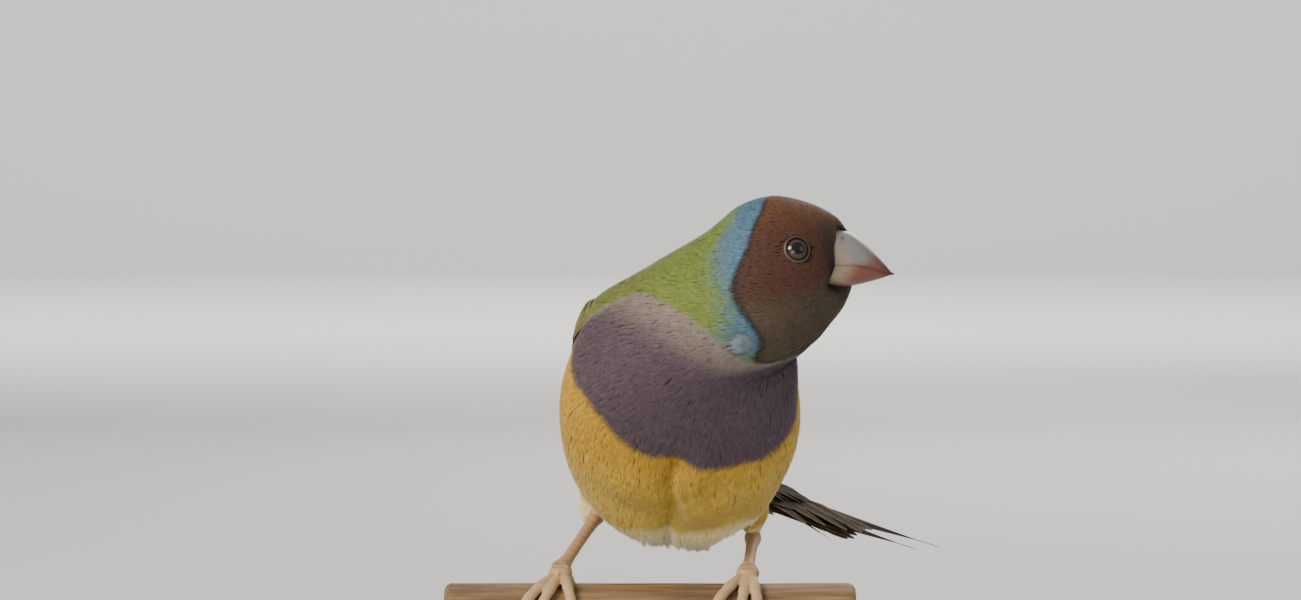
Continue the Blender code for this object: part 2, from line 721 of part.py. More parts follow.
base_rings = []
base_steps = (
    (0, 0.5), (0.5, 0), (BASE_HEIGHT - BASE_EDGE, 0), (BASE_HEIGHT - 0.4, 0.45), (BASE_HEIGHT, BASE_EDGE),
)
for height, inset in base_steps:
    reach = BASE_CORNER - inset
    ring = []
    for across, deep, first in ((1, 1, 0), (-1, 1, 90), (-1, -1, 180), (1, -1, 270)):
        for k in range(6):
            turn = math.radians(first + 18 * k)
            ring.append((
                across * (BASE_LENGTH / 2 - BASE_CORNER) + reach * math.cos(turn),
                deep * (BASE_WIDTH / 2 - BASE_CORNER) + reach * math.sin(turn),
                height - LEVEL,
            ))
    base_rings.append(ring)
loft("stand_base", base_rings)

# Materials, one for each kind of surface
LOOKS = (
    ("head", "red_plumage"),
    ("neck", "green_plumage"),
    ("torso", "purple_plumage"),
    ("wing", "olive_plumage"),
    ("tail", "dark_plumage"),
    ("thigh", "cream_plumage"),
    ("leg", "leg"),
    ("foot", "leg"),
    ("claw", "claw"),
    ("bill", "bill"),
    ("eye", "eye"),
    ("stand_perch", "perch_wood"),
    ("stand_base", "base_wood"),
    ("stand_rod", "rod_brass"),
)
for made in bpy.data.objects:
    kind = next(look for start, look in LOOKS if made.name.startswith(start))
    material = bpy.data.materials.new(made.name)
    material.use_nodes = True
    shader = material.node_tree.nodes["Principled BSDF"]
    shader.inputs["Base Color"].default_value = (*MATERIALS[kind], 1)
    shader.inputs["Roughness"].default_value = 0.2 if kind in ("eye", "rod_brass") else 0.6
    shader.inputs["Metallic"].default_value = 1.0 if kind == "rod_brass" else 0.0
    made.data.materials.clear()
    made.data.materials.append(material)
    made.data.shade_smooth()
    made.data.set_sharp_from_angle(angle=math.radians(40))
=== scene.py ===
"""The looks of a Gouldian finch cock of the red-headed kind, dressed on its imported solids.

The bird's own points are in millimetres from a level between its feet, as in the part's source,
and they become metres where a mesh is made. It faces -Y with its head turned to +X.
"""

import math

import bmesh
import bpy
import numpy as np
from mathutils import Matrix, Vector, kdtree, noise


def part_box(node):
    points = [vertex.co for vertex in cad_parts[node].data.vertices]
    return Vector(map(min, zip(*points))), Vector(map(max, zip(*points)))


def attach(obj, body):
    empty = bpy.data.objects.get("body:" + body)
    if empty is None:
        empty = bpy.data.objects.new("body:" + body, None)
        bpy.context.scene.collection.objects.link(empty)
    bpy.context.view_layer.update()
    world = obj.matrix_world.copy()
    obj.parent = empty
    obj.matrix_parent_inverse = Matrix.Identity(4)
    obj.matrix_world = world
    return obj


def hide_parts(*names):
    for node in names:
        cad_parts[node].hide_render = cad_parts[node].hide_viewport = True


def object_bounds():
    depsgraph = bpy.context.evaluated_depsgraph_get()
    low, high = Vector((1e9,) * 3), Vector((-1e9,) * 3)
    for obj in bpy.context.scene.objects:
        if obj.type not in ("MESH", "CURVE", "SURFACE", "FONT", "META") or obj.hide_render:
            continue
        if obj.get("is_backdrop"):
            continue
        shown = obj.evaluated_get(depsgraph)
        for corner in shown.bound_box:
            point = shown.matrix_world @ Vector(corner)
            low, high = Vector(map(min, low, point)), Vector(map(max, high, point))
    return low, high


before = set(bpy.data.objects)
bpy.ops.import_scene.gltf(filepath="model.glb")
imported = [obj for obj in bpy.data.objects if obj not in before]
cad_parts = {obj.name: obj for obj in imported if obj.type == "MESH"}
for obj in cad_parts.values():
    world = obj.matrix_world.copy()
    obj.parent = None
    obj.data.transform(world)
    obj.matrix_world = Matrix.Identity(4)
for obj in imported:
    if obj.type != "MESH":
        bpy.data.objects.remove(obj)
cad_low, cad_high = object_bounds()

# Camera. A long lens 620 mm off sees the bird nearly level, a little from above, and its picture
# is 213 mm wide where the bird stands.
MM = 0.001
AIM = Vector((0.08, -5.0, 77.6)) * MM
DISTANCE = 620 * MM
ELEVATION = math.radians(2)
PICTURE_WIDTH = 213.3 * MM

camera = bpy.data.objects.new("camera", bpy.data.cameras.new("camera"))
bpy.context.scene.collection.objects.link(camera)
camera.data.sensor_width = 36
camera.data.lens = camera.data.sensor_width * DISTANCE / PICTURE_WIDTH
camera.location = AIM + Vector((0, -math.cos(ELEVATION), math.sin(ELEVATION))) * DISTANCE
camera.rotation_euler = (math.pi / 2 - ELEVATION, 0, 0)
camera.data.clip_start = 0.01
bpy.context.scene.camera = camera

# Studio. A pale matt floor that curves up into a low wall all round, a big soft light from the
# upper left, a weaker one from the right, a low fill in front and an even pale sky.
FLOOR_RADIUS = 3.0
WALL_RADIUS = 1.0
FLOOR_GREY = "d9d7d3"
SKY_WHITE = "eef0f2"
SKY_STRENGTH = 0.5


def linear(code):
    """A linear colour from an sRGB hex code."""
    parts = [int(code[k:k + 2], 16) / 255 for k in (0, 2, 4)]
    return [c / 12.92 if c <= 0.04045 else ((c + 0.055) / 1.055) ** 2.4 for c in parts]


def add(tree, kind, **settings):
    """Adds a shader node. A setting with a capital first letter is a socket's value or its link."""
    made = tree.nodes.new("ShaderNode" + kind)
    for name, value in settings.items():
        if name[0].islower():
            setattr(made, name, value)
            continue
        key = int(name[1:]) if name[1:].isdigit() else name.replace("_", " ")
        socket = made.inputs[key]
        if isinstance(value, bpy.types.NodeSocket):
            tree.links.new(value, socket)
        else:
            socket.default_value = value
    return made


def tune(shader, **values):
    """Sets numbers and colours on a shader's own sockets."""
    for name, value in values.items():
        shader.inputs[name.replace("_", " ")].default_value = value


def new_material(name):
    """A material, its node tree and its shader."""
    material = bpy.data.materials.new(name)
    material.use_nodes = True
    return material, material.node_tree, material.node_tree.nodes["Principled BSDF"]


def new_object(name, mesh, material):
    """An object of a mesh at the origin."""
    made = bpy.data.objects.new(name, mesh)
    bpy.context.scene.collection.objects.link(made)
    made.data.materials.append(material)
    return made


def from_bmesh(name, shape, material, sharp=40):
    """An object from a bmesh, shaded smooth apart from its sharp edges."""
    bmesh.ops.recalc_face_normals(shape, faces=shape.faces)
    mesh = bpy.data.meshes.new(name)
    shape.to_mesh(mesh)
    shape.free()
    mesh.shade_smooth()
    mesh.set_sharp_from_angle(angle=math.radians(sharp))
    return new_object(name, mesh, material)


# Matt paper: pale, even and without a shine
floor_paint, tree, shader = new_material("matt_paper")
tune(shader, Base_Color=(*linear(FLOOR_GREY), 1), Roughness=0.9)
shape = bmesh.new()
bmesh.ops.create_circle(shape, cap_ends=True, segments=96, radius=FLOOR_RADIUS)
rim = shape.edges[:]
for k in range(1, 9):
    turn = math.radians(10 * k)
    grown = bmesh.ops.extrude_edge_only(shape, edges=rim)["geom"]
    rim = [part for part in grown if isinstance(part, bmesh.types.BMEdge)]
    reach = FLOOR_RADIUS + WALL_RADIUS * math.sin(turn)
    for vert in {end for edge in rim for end in edge.verts}:
        flat = Vector((vert.co.x, vert.co.y)).normalized() * reach
        vert.co = (flat.x, flat.y, WALL_RADIUS * (1 - math.cos(turn)))
floor = from_bmesh("floor", shape, floor_paint)
floor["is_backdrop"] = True

# Each lamp's name, place, width, power, tint and the point it is aimed at
LIGHTS = (
    ("key", (-0.66, -0.60, 0.62), 0.45, 13.0, "fff3e2", AIM),
    ("fill", (0.75, -0.45, 0.42), 0.55, 0.8, "f2f5ff", AIM),
    ("front", (-0.30, -1.00, 0.08), 0.50, 3.0, "ffffff", AIM),
    ("back", (0.30, 0.80, 0.60), 0.50, 6.0, "ffffff", AIM),
    ("backdrop", (0.0, 1.5, 1.5), 2.0, 70.0, "ffffff", Vector((0.0, 4.0, 0.4))),
)
for name, place, size, power, tint, aim in LIGHTS:
    lamp = bpy.data.lights.new(name, "AREA")
    lamp.shape = "DISK"
    lamp.size = size
    lamp.energy = power
    lamp.color = linear(tint)
    holder = bpy.data.objects.new(name, lamp)
    bpy.context.scene.collection.objects.link(holder)
    holder.location = place
    holder.rotation_euler = (aim - Vector(place)).to_track_quat("-Z", "Y").to_euler()
world = bpy.data.worlds.new("sky")
world.use_nodes = True
sky = world.node_tree.nodes["Background"]
tune(sky, Color=(*linear(SKY_WHITE), 1), Strength=SKY_STRENGTH)
bpy.context.scene.world = world

# Body. One smooth form from the bill's root to the tail's root, given by cross-sections. Each row
# holds the point on the bird's upper line, the point on its lower line, the half width, the
# heading and lean of its left side, and how far the widest place drops.
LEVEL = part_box("stand_perch")[1].z / MM + 1.5
BODY_SECTIONS = np.array((
    (32.5, -11.0, 57.1, 33.0, -11.0, 48.3, 2.2, 88, 0, 0.00),
    (29.9, -11.0, 59.7, 32.3, -11.0, 46.4, 4.1, 88, 0, 0.00),
    (25.2, -11.0, 61.9, 31.3, -11.0, 44.4, 7.7, 88, 0, 0.05),
    (19.5, -11.0, 62.8, 29.2, -11.5, 41.8, 9.3, 88, 2, 0.05),
    (14.0, -9.5, 60.8, 26.7, -14.0, 39.2, 10.0, 80, 10, 0.00),
    (10.9, -4.5, 56.4, 22.5, -18.0, 37.5, 11.6, 50, 22, 0.00),
    (8.4, -0.5, 52.2, 14.5, -20.5, 35.0, 14.2, 18, 20, 0.00),
    (6.5, 1.0, 48.6, 7.3, -20.5, 31.0, 17.0, -4, 10, 0.00),
    (6.7, 3.5, 44.0, 3.3, -15.5, 22.5, 19.5, -12, 2, 0.10),
    (7.1, 8.0, 38.5, 3.7, -7.0, 12.0, 19.7, -12, 0, 0.12),
    (7.1, 13.0, 32.0, 3.3, 2.5, 4.8, 17.3, -12, 0, 0.08),
    (8.6, 18.5, 26.0, 5.2, 11.5, 3.0, 13.4, -12, 0, 0.06),
    (10.8, 24.0, 20.5, 8.8, 21.0, 5.0, 9.2, -14, 0, 0.05),
    (12.2, 29.0, 16.8, 11.9, 28.0, 8.6, 4.9, -20, 5, 0.00),
    (15.4, 36.0, 15.2, 14.3, 35.0, 7.6, 4.8, -28, 20, 0.00),
    (19.6, 41.8, 13.4, 17.6, 41.4, 6.6, 5.2, -34, 32, 0.00),
    (24.0, 47.5, 11.9, 22.0, 47.0, 5.4, 5.2, -38, 35, 0.00),
    (27.8, 52.5, 9.2, 25.9, 52.0, 3.4, 4.6, -40, 37, 0.00),
))
TAIL_ROOT = 13.0
# Where the face feathers end at the bill: turn off the back, place, and how far they lie lower there
FACE_EDGE = np.array((
    (0, -0.15, 0.3), (10, -0.10, 0.3), (20, 0.10, 0.3), (30, 0.45, 0.2), (40, 0.80, 0.2), (52, 0.86, 0.3),
    (65, 0.82, 0.5), (83, 0.75, 0.9), (93, 0.68, 1.2), (102, 0.70, 1.6), (111, 1.00, 2.0), (120, 1.42, 2.3),
    (126, 1.50, 2.4), (133, 1.18, 2.0), (142, 0.65, 1.3), (150, 0.35, 0.8), (157, 0.15, 0.4),
    (165, 0.0, 0.1), (180, -0.12, 0.0),
))
# The belly's plumage parts along a line below the breast and folds over itself along another
PARTING = np.array(((8.1, -3), (8.35, -2), (8.7, 2), (9.0, 1), (11.0, 4)))
PARTING_DEPTH = 1.1
WHORL = np.array((5.46,)), np.array((-152.0,))
FOLD = np.array((
    (-60, 9.0), (-40, 9.2), (-26, 9.28), (-20, 9.38), (-12, 9.44), (-6, 9.36), (-2, 9.06), (2, 9.12),
    (13, 9.06), (26, 9.02), (41, 8.84), (54, 8.50), (75, 8.0),
))
# Swellings and hollows of the plumage: height, turn off the belly's middle with its spread, place
# with its spread, and whether both sides have it. They are beside the parting, over the knees, on
# the left flank, behind the right knee and on each shoulder
SWELLINGS = (
    (1.0, -10.5, 6.5, 8.5, 0.32, False),
    (0.4, 28, 14, 9.9, 0.4, True),
    (0.5, 68, 20, 9.1, 1.0, False),
    (-1.5, -38, 14, 10.9, 0.8, False),
    (1.5, 120, 17, 7.1, 0.6, False),
    (0.9, -120, 17, 7.1, 0.6, False),
)


def along(rows, place):
    """The rows' values at each place from 0 to the last row's number, on a smooth curve."""
    last = len(rows) - 1
    step = np.clip(np.floor(place).astype(int), 0, last - 1)
    t = (place - step)[:, None]
    start, end = rows[step], rows[step + 1]
    before = np.where((step == 0)[:, None], 2 * start - end, rows[np.maximum(step - 1, 0)])
    after = np.where((step == last - 1)[:, None], 2 * end - start, rows[np.minimum(step + 2, last)])
    slope_in, slope_out = (end - before) / 2, (after - start) / 2
    return (
        start * (2 * t**3 - 3 * t**2 + 1)
        + end * (3 * t**2 - 2 * t**3)
        + slope_in * (t**3 - 2 * t**2 + t)
        + slope_out * (t**3 - t**2)
    )


def ease(value, low, high):
    """0 up to low, 1 from high on, and a soft step between."""
    t = np.clip((value - low) / (high - low), 0, 1)
    return t * t * (3 - 2 * t)


def unit(vectors):
    """The vectors at a length of 1."""
    return vectors / np.maximum(np.linalg.norm(vectors, axis=-1, keepdims=True), 1e-9)


def signed(turn):
    """The same turn between -180 and 180: the left side is positive and the right one negative."""
    return (turn + 180) % 360 - 180


def form(place, turn):
    """Points of the body's form. Turn is 0 on the back, 90 on the left and 180 on the belly."""
    row = along(BODY_SECTIONS, place)
    upper, lower = row[:, 0:3], row[:, 3:6]
    heading, lean = np.radians(row[:, 7]), np.radians(row[:, 8])
    up = (upper - lower) / 2
    left = np.stack((np.cos(heading) * np.cos(lean), np.sin(heading) * np.cos(lean), -np.sin(lean)), 1)
    left -= up * ((left * up).sum(1) / (up * up).sum(1))[:, None]
    left = unit(left) * row[:, 6:7]
    turn = np.radians(turn)[:, None]
    return (upper + lower) / 2 + up * np.cos(turn) + left * np.sin(turn) * (1 - row[:, 9:10] * np.cos(turn))


def behind_face(place, turn):
    """How far a place lies behind the bare root of the bill, in places."""
    return place - np.interp(abs(signed(turn)), FACE_EDGE[:, 0], FACE_EDGE[:, 1])


def bump_at(value, middle, width):
    """1 at the middle, falling softly to 0 over a width or two."""
    return np.exp(-(((value - middle) / width) ** 2))


def relief(place, turn):
    """How far the plumage stands out from the form: the cheek's edge and the belly's folds."""
    off = turn % 360 - 180
    drop = np.interp(180 - abs(off), FACE_EDGE[:, 0], FACE_EDGE[:, 2])
    rise = -drop * (1 - ease(behind_face(place, turn), -0.1, 1.3))
    middle = np.interp(place, *PARTING.T)
    parting = bump_at(off, middle, 2.6) + 0.8 * bump_at(off, middle, 8.0)
    rise -= PARTING_DEPTH * parting * ease(place, 8.05, 8.5) * (1 - 0.5 * ease(place, 9.6, 11.5))
    for height, around, spread, middle, reach, both in SWELLINGS:
        rise += height * bump_at(abs(off) if both else off, around, spread) * bump_at(place, middle, reach)
    behind = place - np.interp(off, *FOLD.T)
    fade = ease(off, -60, -30) * (1 - ease(off, 18, 48))
    rise += fade * (0.70 * bump_at(behind, -0.26, 0.30) - 0.50 * bump_at(behind, 0.20, 0.22))
    far = whorl_distance(place, turn)
    return rise + 0.35 * bump_at(far, 0, 1.1) - 0.1 * bump_at(far, 1.9, 0.5)


def whorl_distance(place, turn):
    """Millimetres from the middle of the whorl of feathers on the side of the throat."""
    return np.linalg.norm(form(place, turn) - form(*WHORL), axis=1)


def over_body(place, turn, lift):
    """Points at a height over the body, and the way out of its plumage there."""
    ahead = form(place + 0.04, turn) - form(place - 0.04, turn)
    around = form(place, turn + 2) - form(place, turn - 2)
    middle = form(place, turn)
    spoke = unit(middle - form(place, turn + 180))
    out = np.cross(unit(around), unit(ahead))
    crowded = 1 - np.linalg.norm(out, axis=1, keepdims=True).clip(0, 1)
    out = unit(out + 0.7 * spoke * crowded**2)
    points = middle + out * (lift + relief(place, turn))[:, None]
    slopes = (
        (ahead, relief(place + 0.04, turn) - relief(place - 0.04, turn)),
        (around, relief(place, turn + 2) - relief(place, turn - 2)),
    )
    for step, rise in slopes:
        run = np.sqrt(np.maximum((step * step).sum(1), 0.02))
        out = out - step * ((rise / run).clip(-0.55, 0.55) / run)[:, None]
    return points, unit(out)


def in_scene(points):
    """The bird's own points as the scene's, in metres from the floor."""
    return (np.asarray(points) + (0, 0, LEVEL)) * MM


# Markings. The mask is dull red over a blackish throat, with a thin black border and a pale blue
# band behind it. The nape is yellow-green, the back olive, the breast purple, the belly golden
# yellow, the vent cream and the rump pale blue. Each edge is a line of turns and places.
MASK_EDGE = np.array((
    (-180, 5.70), (-172, 5.62), (-162, 5.35), (-148, 5.15), (-135, 5.08), (-120, 5.05), (-102, 4.95),
    (-84, 4.60), (-68, 4.20), (-50, 3.80), (-36, 3.45), (0, 3.00), (36, 3.40), (68, 4.05), (96, 4.45),
    (130, 4.65), (158, 4.75), (166, 4.95), (172, 5.60), (180, 5.70),
))
BLUE_EDGE = np.array((
    (-180, 5.72), (-140, 5.58), (-126, 5.36), (-116, 5.24), (-100, 5.14), (-90, 5.08), (-80, 5.02),
    (-66, 4.90), (-55, 4.70), (-42, 4.42), (-20, 4.10), (0, 3.95), (42, 4.30), (62, 4.60), (80, 4.80),
    (100, 5.05), (130, 5.30), (158, 4.95), (180, 5.72),
))
BREAST_TOP = np.array((
    (-180, 5.76), (-160, 5.66), (-144, 5.62), (-118, 5.66), (-98, 5.86), (-86, 6.00), (-80, 6.38),
    (-77, 6.90), (-74, 7.60), (-50, 7.60), (50, 7.05), (62, 6.75), (82, 6.20), (98, 5.80), (118, 5.50),
    (144, 5.15), (158, 4.97), (168, 5.45), (180, 5.76),
))
BREAST_LOW = np.array((
    (-180, 8.27), (-172, 8.25), (-166, 8.21), (-156, 8.04), (-144, 7.81), (-128, 7.63), (-104, 7.58),
    (-81, 7.50), (-60, 7.40), (60, 7.10), (90, 7.95), (104, 8.45), (116, 8.55), (127, 8.58), (138, 8.58),
    (149, 8.51), (159, 8.49), (168, 8.41), (174, 8.30), (180, 8.27),
))
VENT_EDGE = np.array((
    (-180, 9.80), (-166, 9.75), (-142, 10.05), (-120, 10.8), (-90, 11.9), (-60, 13.5), (60, 13.5),
    (90, 11.9), (120, 10.4), (142, 9.75), (166, 9.75), (180, 9.80),
))
# The border's black also darkens the forehead at the bill's root, as painted shade there.
PLUMAGE = {
    "crown": "66432d", "cheek": "4b2f25", "lores": "4f4237", "throat": "514637", "border": "26211e",
    "blue": "50728a", "nape": "6e8139", "olive": "70773b", "breast": "53454f", "lilac": "8f8377",
    "yellow": "bf952f", "gold": "c8aa4e", "cream": "fae7ad", "white": "fdf2cf", "rump": "8fa3b0",
    "whorl": "7b8c9a",
}


def dyes(codes):
    """Linear colours by name."""
    return {name: np.array(linear(code)) for name, code in codes.items()}


PLUMAGE = dyes(PLUMAGE)


def beyond(edge, place, turn):
    """How far a place lies behind an edge line, in places."""
    return place - np.interp(signed(turn), edge[:, 0], edge[:, 1])


def mix(first, second, share):
    """A row of colours between two, each by its own share of the second."""
    share = np.asarray(share)[:, None]
    return first * (1 - share) + second * share


def markings(place, turn, wander):
    """The plumage's colour at each place. Wander moves the edges from feather to feather."""
    off_back = abs(signed(turn))
    place = place + 0.010 * wander
    shape = (len(place), 1)
    belly = mix(np.tile(PLUMAGE["yellow"], shape), PLUMAGE["gold"], ease(place + 0.2 * wander, 8.2, 9.4))
    colour = mix(belly, PLUMAGE["cream"], ease(beyond(VENT_EDGE, place, turn), -0.16, 0.10))
    colour = mix(colour, PLUMAGE["white"], ease(beyond(VENT_EDGE, place, turn), 0.1, 0.5))
    paler = 0.8 * (1 - ease(beyond(BREAST_TOP, place, turn), 0.0, 0.9))
    breast = mix(np.tile(PLUMAGE["breast"], shape), PLUMAGE["lilac"], paler)
    colour = mix(breast, colour, ease(beyond(BREAST_LOW, place, turn), -0.05, 0.05))
    back_edge = np.where(signed(turn) < 0, 76, 64)
    on_back = 1 - ease(off_back + wander - back_edge, -4, 4)
    colour = mix(colour, PLUMAGE["olive"], ease(place, 6.4, 6.9) * on_back)
    on_rump = ease(place + 0.06 * wander, 11.4, 11.9) * (1 - ease(off_back, 78, 92))
    colour = mix(colour, PLUMAGE["rump"], on_rump)
    nape = mix(np.tile(PLUMAGE["nape"], shape), PLUMAGE["olive"], ease(place + 0.3 * wander, 5.4, 6.4))
    colour = mix(nape, colour, ease(beyond(BREAST_TOP, place, turn), -0.05, 0.05))
    colour = mix(PLUMAGE["blue"], colour, ease(beyond(BLUE_EDGE, place, turn) + 0.07 * wander, -0.34, 0.18))
    mask = mix(np.tile(PLUMAGE["crown"], shape), PLUMAGE["cheek"], ease(off_back + 2 * wander, 28, 72))
    mask = mix(mask, PLUMAGE["lores"], (1 - ease(place, 1.2, 2.3)) * ease(off_back, 25, 60))
    # Painted shade: the forehead darkens with the border's black toward the bill's root, where the feathers
    # meet the bill.
    mask = mix(mask, PLUMAGE["border"], 0.6 * (1 - ease(place, 0.2, 1.4)) * (1 - ease(off_back, 30, 60)))
    mask = mix(mask, PLUMAGE["throat"], ease(off_back + 2 * wander, 104, 130))
    far = whorl_distance(place, turn)
    colour = mix(colour, PLUMAGE["whorl"], 0.9 * (1 - ease(far, 1.7, 2.4)))
    colour = colour * (1 - 0.5 * bump_at(far, 1.85, 0.35))[:, None]
    edge = beyond(MASK_EDGE, place, turn)
    mask = mix(mask, PLUMAGE["border"], 0.85 * ease(edge, -0.15, -0.06) * ease(off_back, 4, 22))
    return mix(mask, colour, ease(edge, -0.02, 0.03))


# Skin. The bird's bare body under its feathers: one closed form over head, neck, trunk and
# thighs, which lies inside them by the depth of the coat and wears the same markings.
COAT_DEPTH = np.array(((0, 0.40), (1.5, 0.36), (3, 0.45), (5, 0.65), (7, 0.85), (13, 0.95)))
THIGHS = {
    "right": (((-6.0, 9.5, 17.5), (-8.6, 11.6, 13.2), (-10.1, 13.0, 9.2)), (4.4, 3.2, 1.5)),
    "left": (((16.2, 12.6, 12.0), (17.1, 13.6, 8.6), (17.35, 14.0, 6.3)), (3.9, 2.9, 1.4)),
}
SKIN_RINGS = 150
SKIN_SIDES = 120
SKIN_VOXEL = 0.55


def coat_depth(place):
    """How deep the skin lies under the tips of the feathers."""
    return np.interp(place, COAT_DEPTH[:, 0], COAT_DEPTH[:, 1])


def thigh_ring(side, share, turn, swell=0.0):
    """Points round a thigh at a share of its length, and the way out of it there."""
    stops, radii = THIGHS[side]
    rows = np.column_stack((stops, radii))
    row = along(rows, share * 2)
    ahead = unit(along(rows, share * 2 + 0.05)[:, :3] - along(rows, share * 2 - 0.05)[:, :3])
    across = unit(np.cross(ahead, (0.0, 1.0, 0.0)))
    other = np.cross(ahead, across)
    turn = np.radians(turn)[:, None]
    out = across * np.cos(turn) + other * np.sin(turn)
    return row[:, :3] + out * (row[:, 3:4] + swell), out


def skinned(rings):
    """A closed tube through rings of points: a circle, extruded on from ring to ring."""
    shape = bmesh.new()
    bmesh.ops.create_circle(shape, cap_ends=True, segments=len(rings[0]), radius=1)
    shape.verts.ensure_lookup_table()
    loop = list(shape.verts)
    for vert, point in zip(loop, rings[0]):
        vert.co = point
    for ring in rings[1:]:
        edges = [shape.edges.get((a, b)) for a, b in zip(loop, loop[1:] + loop[:1])]
        grown = bmesh.ops.extrude_edge_only(shape, edges=edges)["geom"]
        fresh = {part for part in grown if isinstance(part, bmesh.types.BMVert)}
        loop = [next(e.other_vert(v) for e in v.link_edges if e.other_vert(v) in fresh) for v in loop]
        for vert, point in zip(loop, ring):
            vert.co = point
    ends = [shape.edges.get((a, b)) for a, b in zip(loop, loop[1:] + loop[:1])]
    bmesh.ops.contextual_create(shape, geom=ends)
    return shape


def add_tube(shape, rings):
    """Adds a closed tube through rings of points to a shape."""
    tube = skinned(rings)
    mesh = bpy.data.meshes.new("tube")
    tube.to_mesh(mesh)
    tube.free()
    shape.from_mesh(mesh)
    bpy.data.meshes.remove(mesh)


def one_skin(piece, voxel, rounds):
    """Runs the overlapping tubes of a piece into one smooth skin."""
    remesh = piece.modifiers.new("one_skin", "REMESH")
    remesh.mode = "VOXEL"
    remesh.voxel_size = voxel * MM
    relax = piece.modifiers.new("relax", "SMOOTH")
    relax.iterations = rounds
    graph = bpy.context.evaluated_depsgraph_get()
    fresh = bpy.data.meshes.new_from_object(piece.evaluated_get(graph))
    piece.modifiers.clear()
    piece.data = fresh
    fresh.shade_smooth()


def search_tree(points):
    """A tree that finds the nearest of the points."""
    tree = kdtree.KDTree(len(points))
    for k, point in enumerate(points):
        tree.insert(point, k)
    tree.balance()
    return tree


def paint(mesh, name, colours):
    """Gives each point of a mesh its colour."""
    layer = mesh.color_attributes.new(name, "FLOAT_COLOR", "POINT")
    rows = np.column_stack((colours, np.ones(len(colours))))
    layer.data.foreach_set("color", rows.astype(np.float32).ravel())


def vary(tree, shader, painted, pattern, dark, light, low=0.3, high=0.7):
    """Lets a pattern make the painted colour of a surface darker and lighter."""
    tint = add(tree, "Attribute", attribute_name=painted)
    level = add(tree, "MapRange", Value=pattern, From_Min=low, From_Max=high, To_Min=dark, To_Max=light)
    toned = add(
        tree, "VectorMath", operation="SCALE", I0=tint.outputs["Color"], Scale=level.outputs["Result"]
    )
    tree.links.new(toned.outputs["Vector"], shader.inputs["Base Color"])


# Barbed feather keratin: matt, with a faint silky sheen along the edge of the form. It looks velvety,
# mottled from feather to feather in patches about a millimetre across.
down_feather, tree, shader = new_material("body_feather")
place = add(tree, "TexCoord")
speck = add(tree, "TexNoise", Vector=place.outputs["Object"], Scale=0.9 / MM, Detail=4.0, Roughness=0.6)
vary(tree, shader, "plumage", speck.outputs["Fac"], 0.86, 1.12)
tune(shader, Roughness=0.72, Sheen_Weight=0.12, Sheen_Roughness=0.4, Specular_IOR_Level=0.3)

places = np.linspace(0, TAIL_ROOT, SKIN_RINGS)
turns = np.arange(SKIN_SIDES) * 360 / SKIN_SIDES
rings = []
for place in places:
    spot = np.full(SKIN_SIDES, place)
    pinch = 2.4 * (1 - ease(behind_face(spot, turns), -0.35, 0.05))
    rings.append(in_scene(over_body(spot, turns, -coat_depth(spot) - pinch)[0]))
shape = skinned(rings)
for side in THIGHS:
    rings = []
    for share in np.linspace(0, 1, 14):
        spot = np.full(24, share)
        rings.append(in_scene(thigh_ring(side, spot, np.arange(24) * 15.0, -0.5)[0]))
    add_tube(shape, rings)
skin = from_bmesh("skin", shape, down_feather)
one_skin(skin, SKIN_VOXEL, 3)

# The body's places and turns nearest to any point, for whatever has to find its own markings
map_places, map_turns = np.meshgrid(np.arange(0, 13.21, 0.06), np.arange(-180, 180, 2.5), indexing="ij")
map_places, map_turns = map_places.ravel(), map_turns.ravel()
body_map = search_tree(in_scene(over_body(map_places, map_turns, np.zeros(len(map_places)))[0]))


def nearest_on_body(points):
    """Place and turn of the body nearest to each point in the scene."""
    found = np.array([body_map.find(point)[1] for point in points])
    return map_places[found], map_turns[found]


places, turns = nearest_on_body([vert.co for vert in skin.data.vertices])
random = np.random.default_rng(11)
# The skin is painted a tenth darker than the coat's markings: painted shade under the feathers.
paint(skin.data, "plumage", markings(places, turns, random.normal(0, 0.5, len(places))) * 0.9)
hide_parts("head", "neck", "torso", "thigh_left", "thigh_right")
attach(skin, "root")

# Coat. The small contour feathers. Each is a soft vane that has split into three blades of barbs
# from one quill, sunk in the skin, and lies back over the next from the bill to the tail.
# They are smallest round the bill and eyes.
# A feather's length and its blades' half width, by place
LENGTHS = np.array((
    (0, 0.9), (1, 1.1), (2, 1.35), (3, 1.8), (4, 2.3), (5, 2.8), (6, 3.1), (8, 3.5), (10, 4.0), (13, 5.0),
))
BLADES = np.array((
    (0, 0.07), (1, 0.08), (2, 0.09), (3, 0.11), (4, 0.125), (6, 0.15), (8, 0.17), (13, 0.22),
))
# How many blades lie over each other, and how far each feather goes from row to row
LAYERS = 6.5
ROW_STEP = 0.07
# A blade's points along its length, where along it each takes its marking from, and its widths
BLADE_STOPS = np.array((0.0, 0.3, 0.62, 1.0))
COLOUR_STOPS = np.array((0.4, 0.5, 0.74, 1.0))
BLADE_WIDTHS = np.array((0.45, 1.0, 0.85))
BAKE_PATCH = 0.003
EYE_SPOTS = {"left": (2.95, 80.0), "right": (2.95, -80.0)}
EYE_CLEAR = 2.15


def pace(place, turn):
    """How many millimetres a step of one place and one degree are on the body."""
    ahead = np.linalg.norm(form(place + 0.04, turn) - form(place - 0.04, turn), axis=1) / 0.08
    around = np.linalg.norm(form(place, turn + 1) - form(place, turn - 1), axis=1) / 2
    return ahead, around


def mesh_of(name, points, corner, start):
    """A mesh of the bird's own points, the faces' corners and where each face starts in them."""
    mesh = bpy.data.meshes.new(name)
    mesh.vertices.add(len(points))
    mesh.vertices.foreach_set("co", in_scene(points).astype(np.float32).ravel())
    mesh.loops.add(len(corner))
    mesh.loops.foreach_set("vertex_index", corner.astype(np.int32))
    mesh.polygons.add(len(start))
    mesh.polygons.foreach_set("loop_start", start.astype(np.int32))
    mesh.update(calc_edges=True)
    return mesh


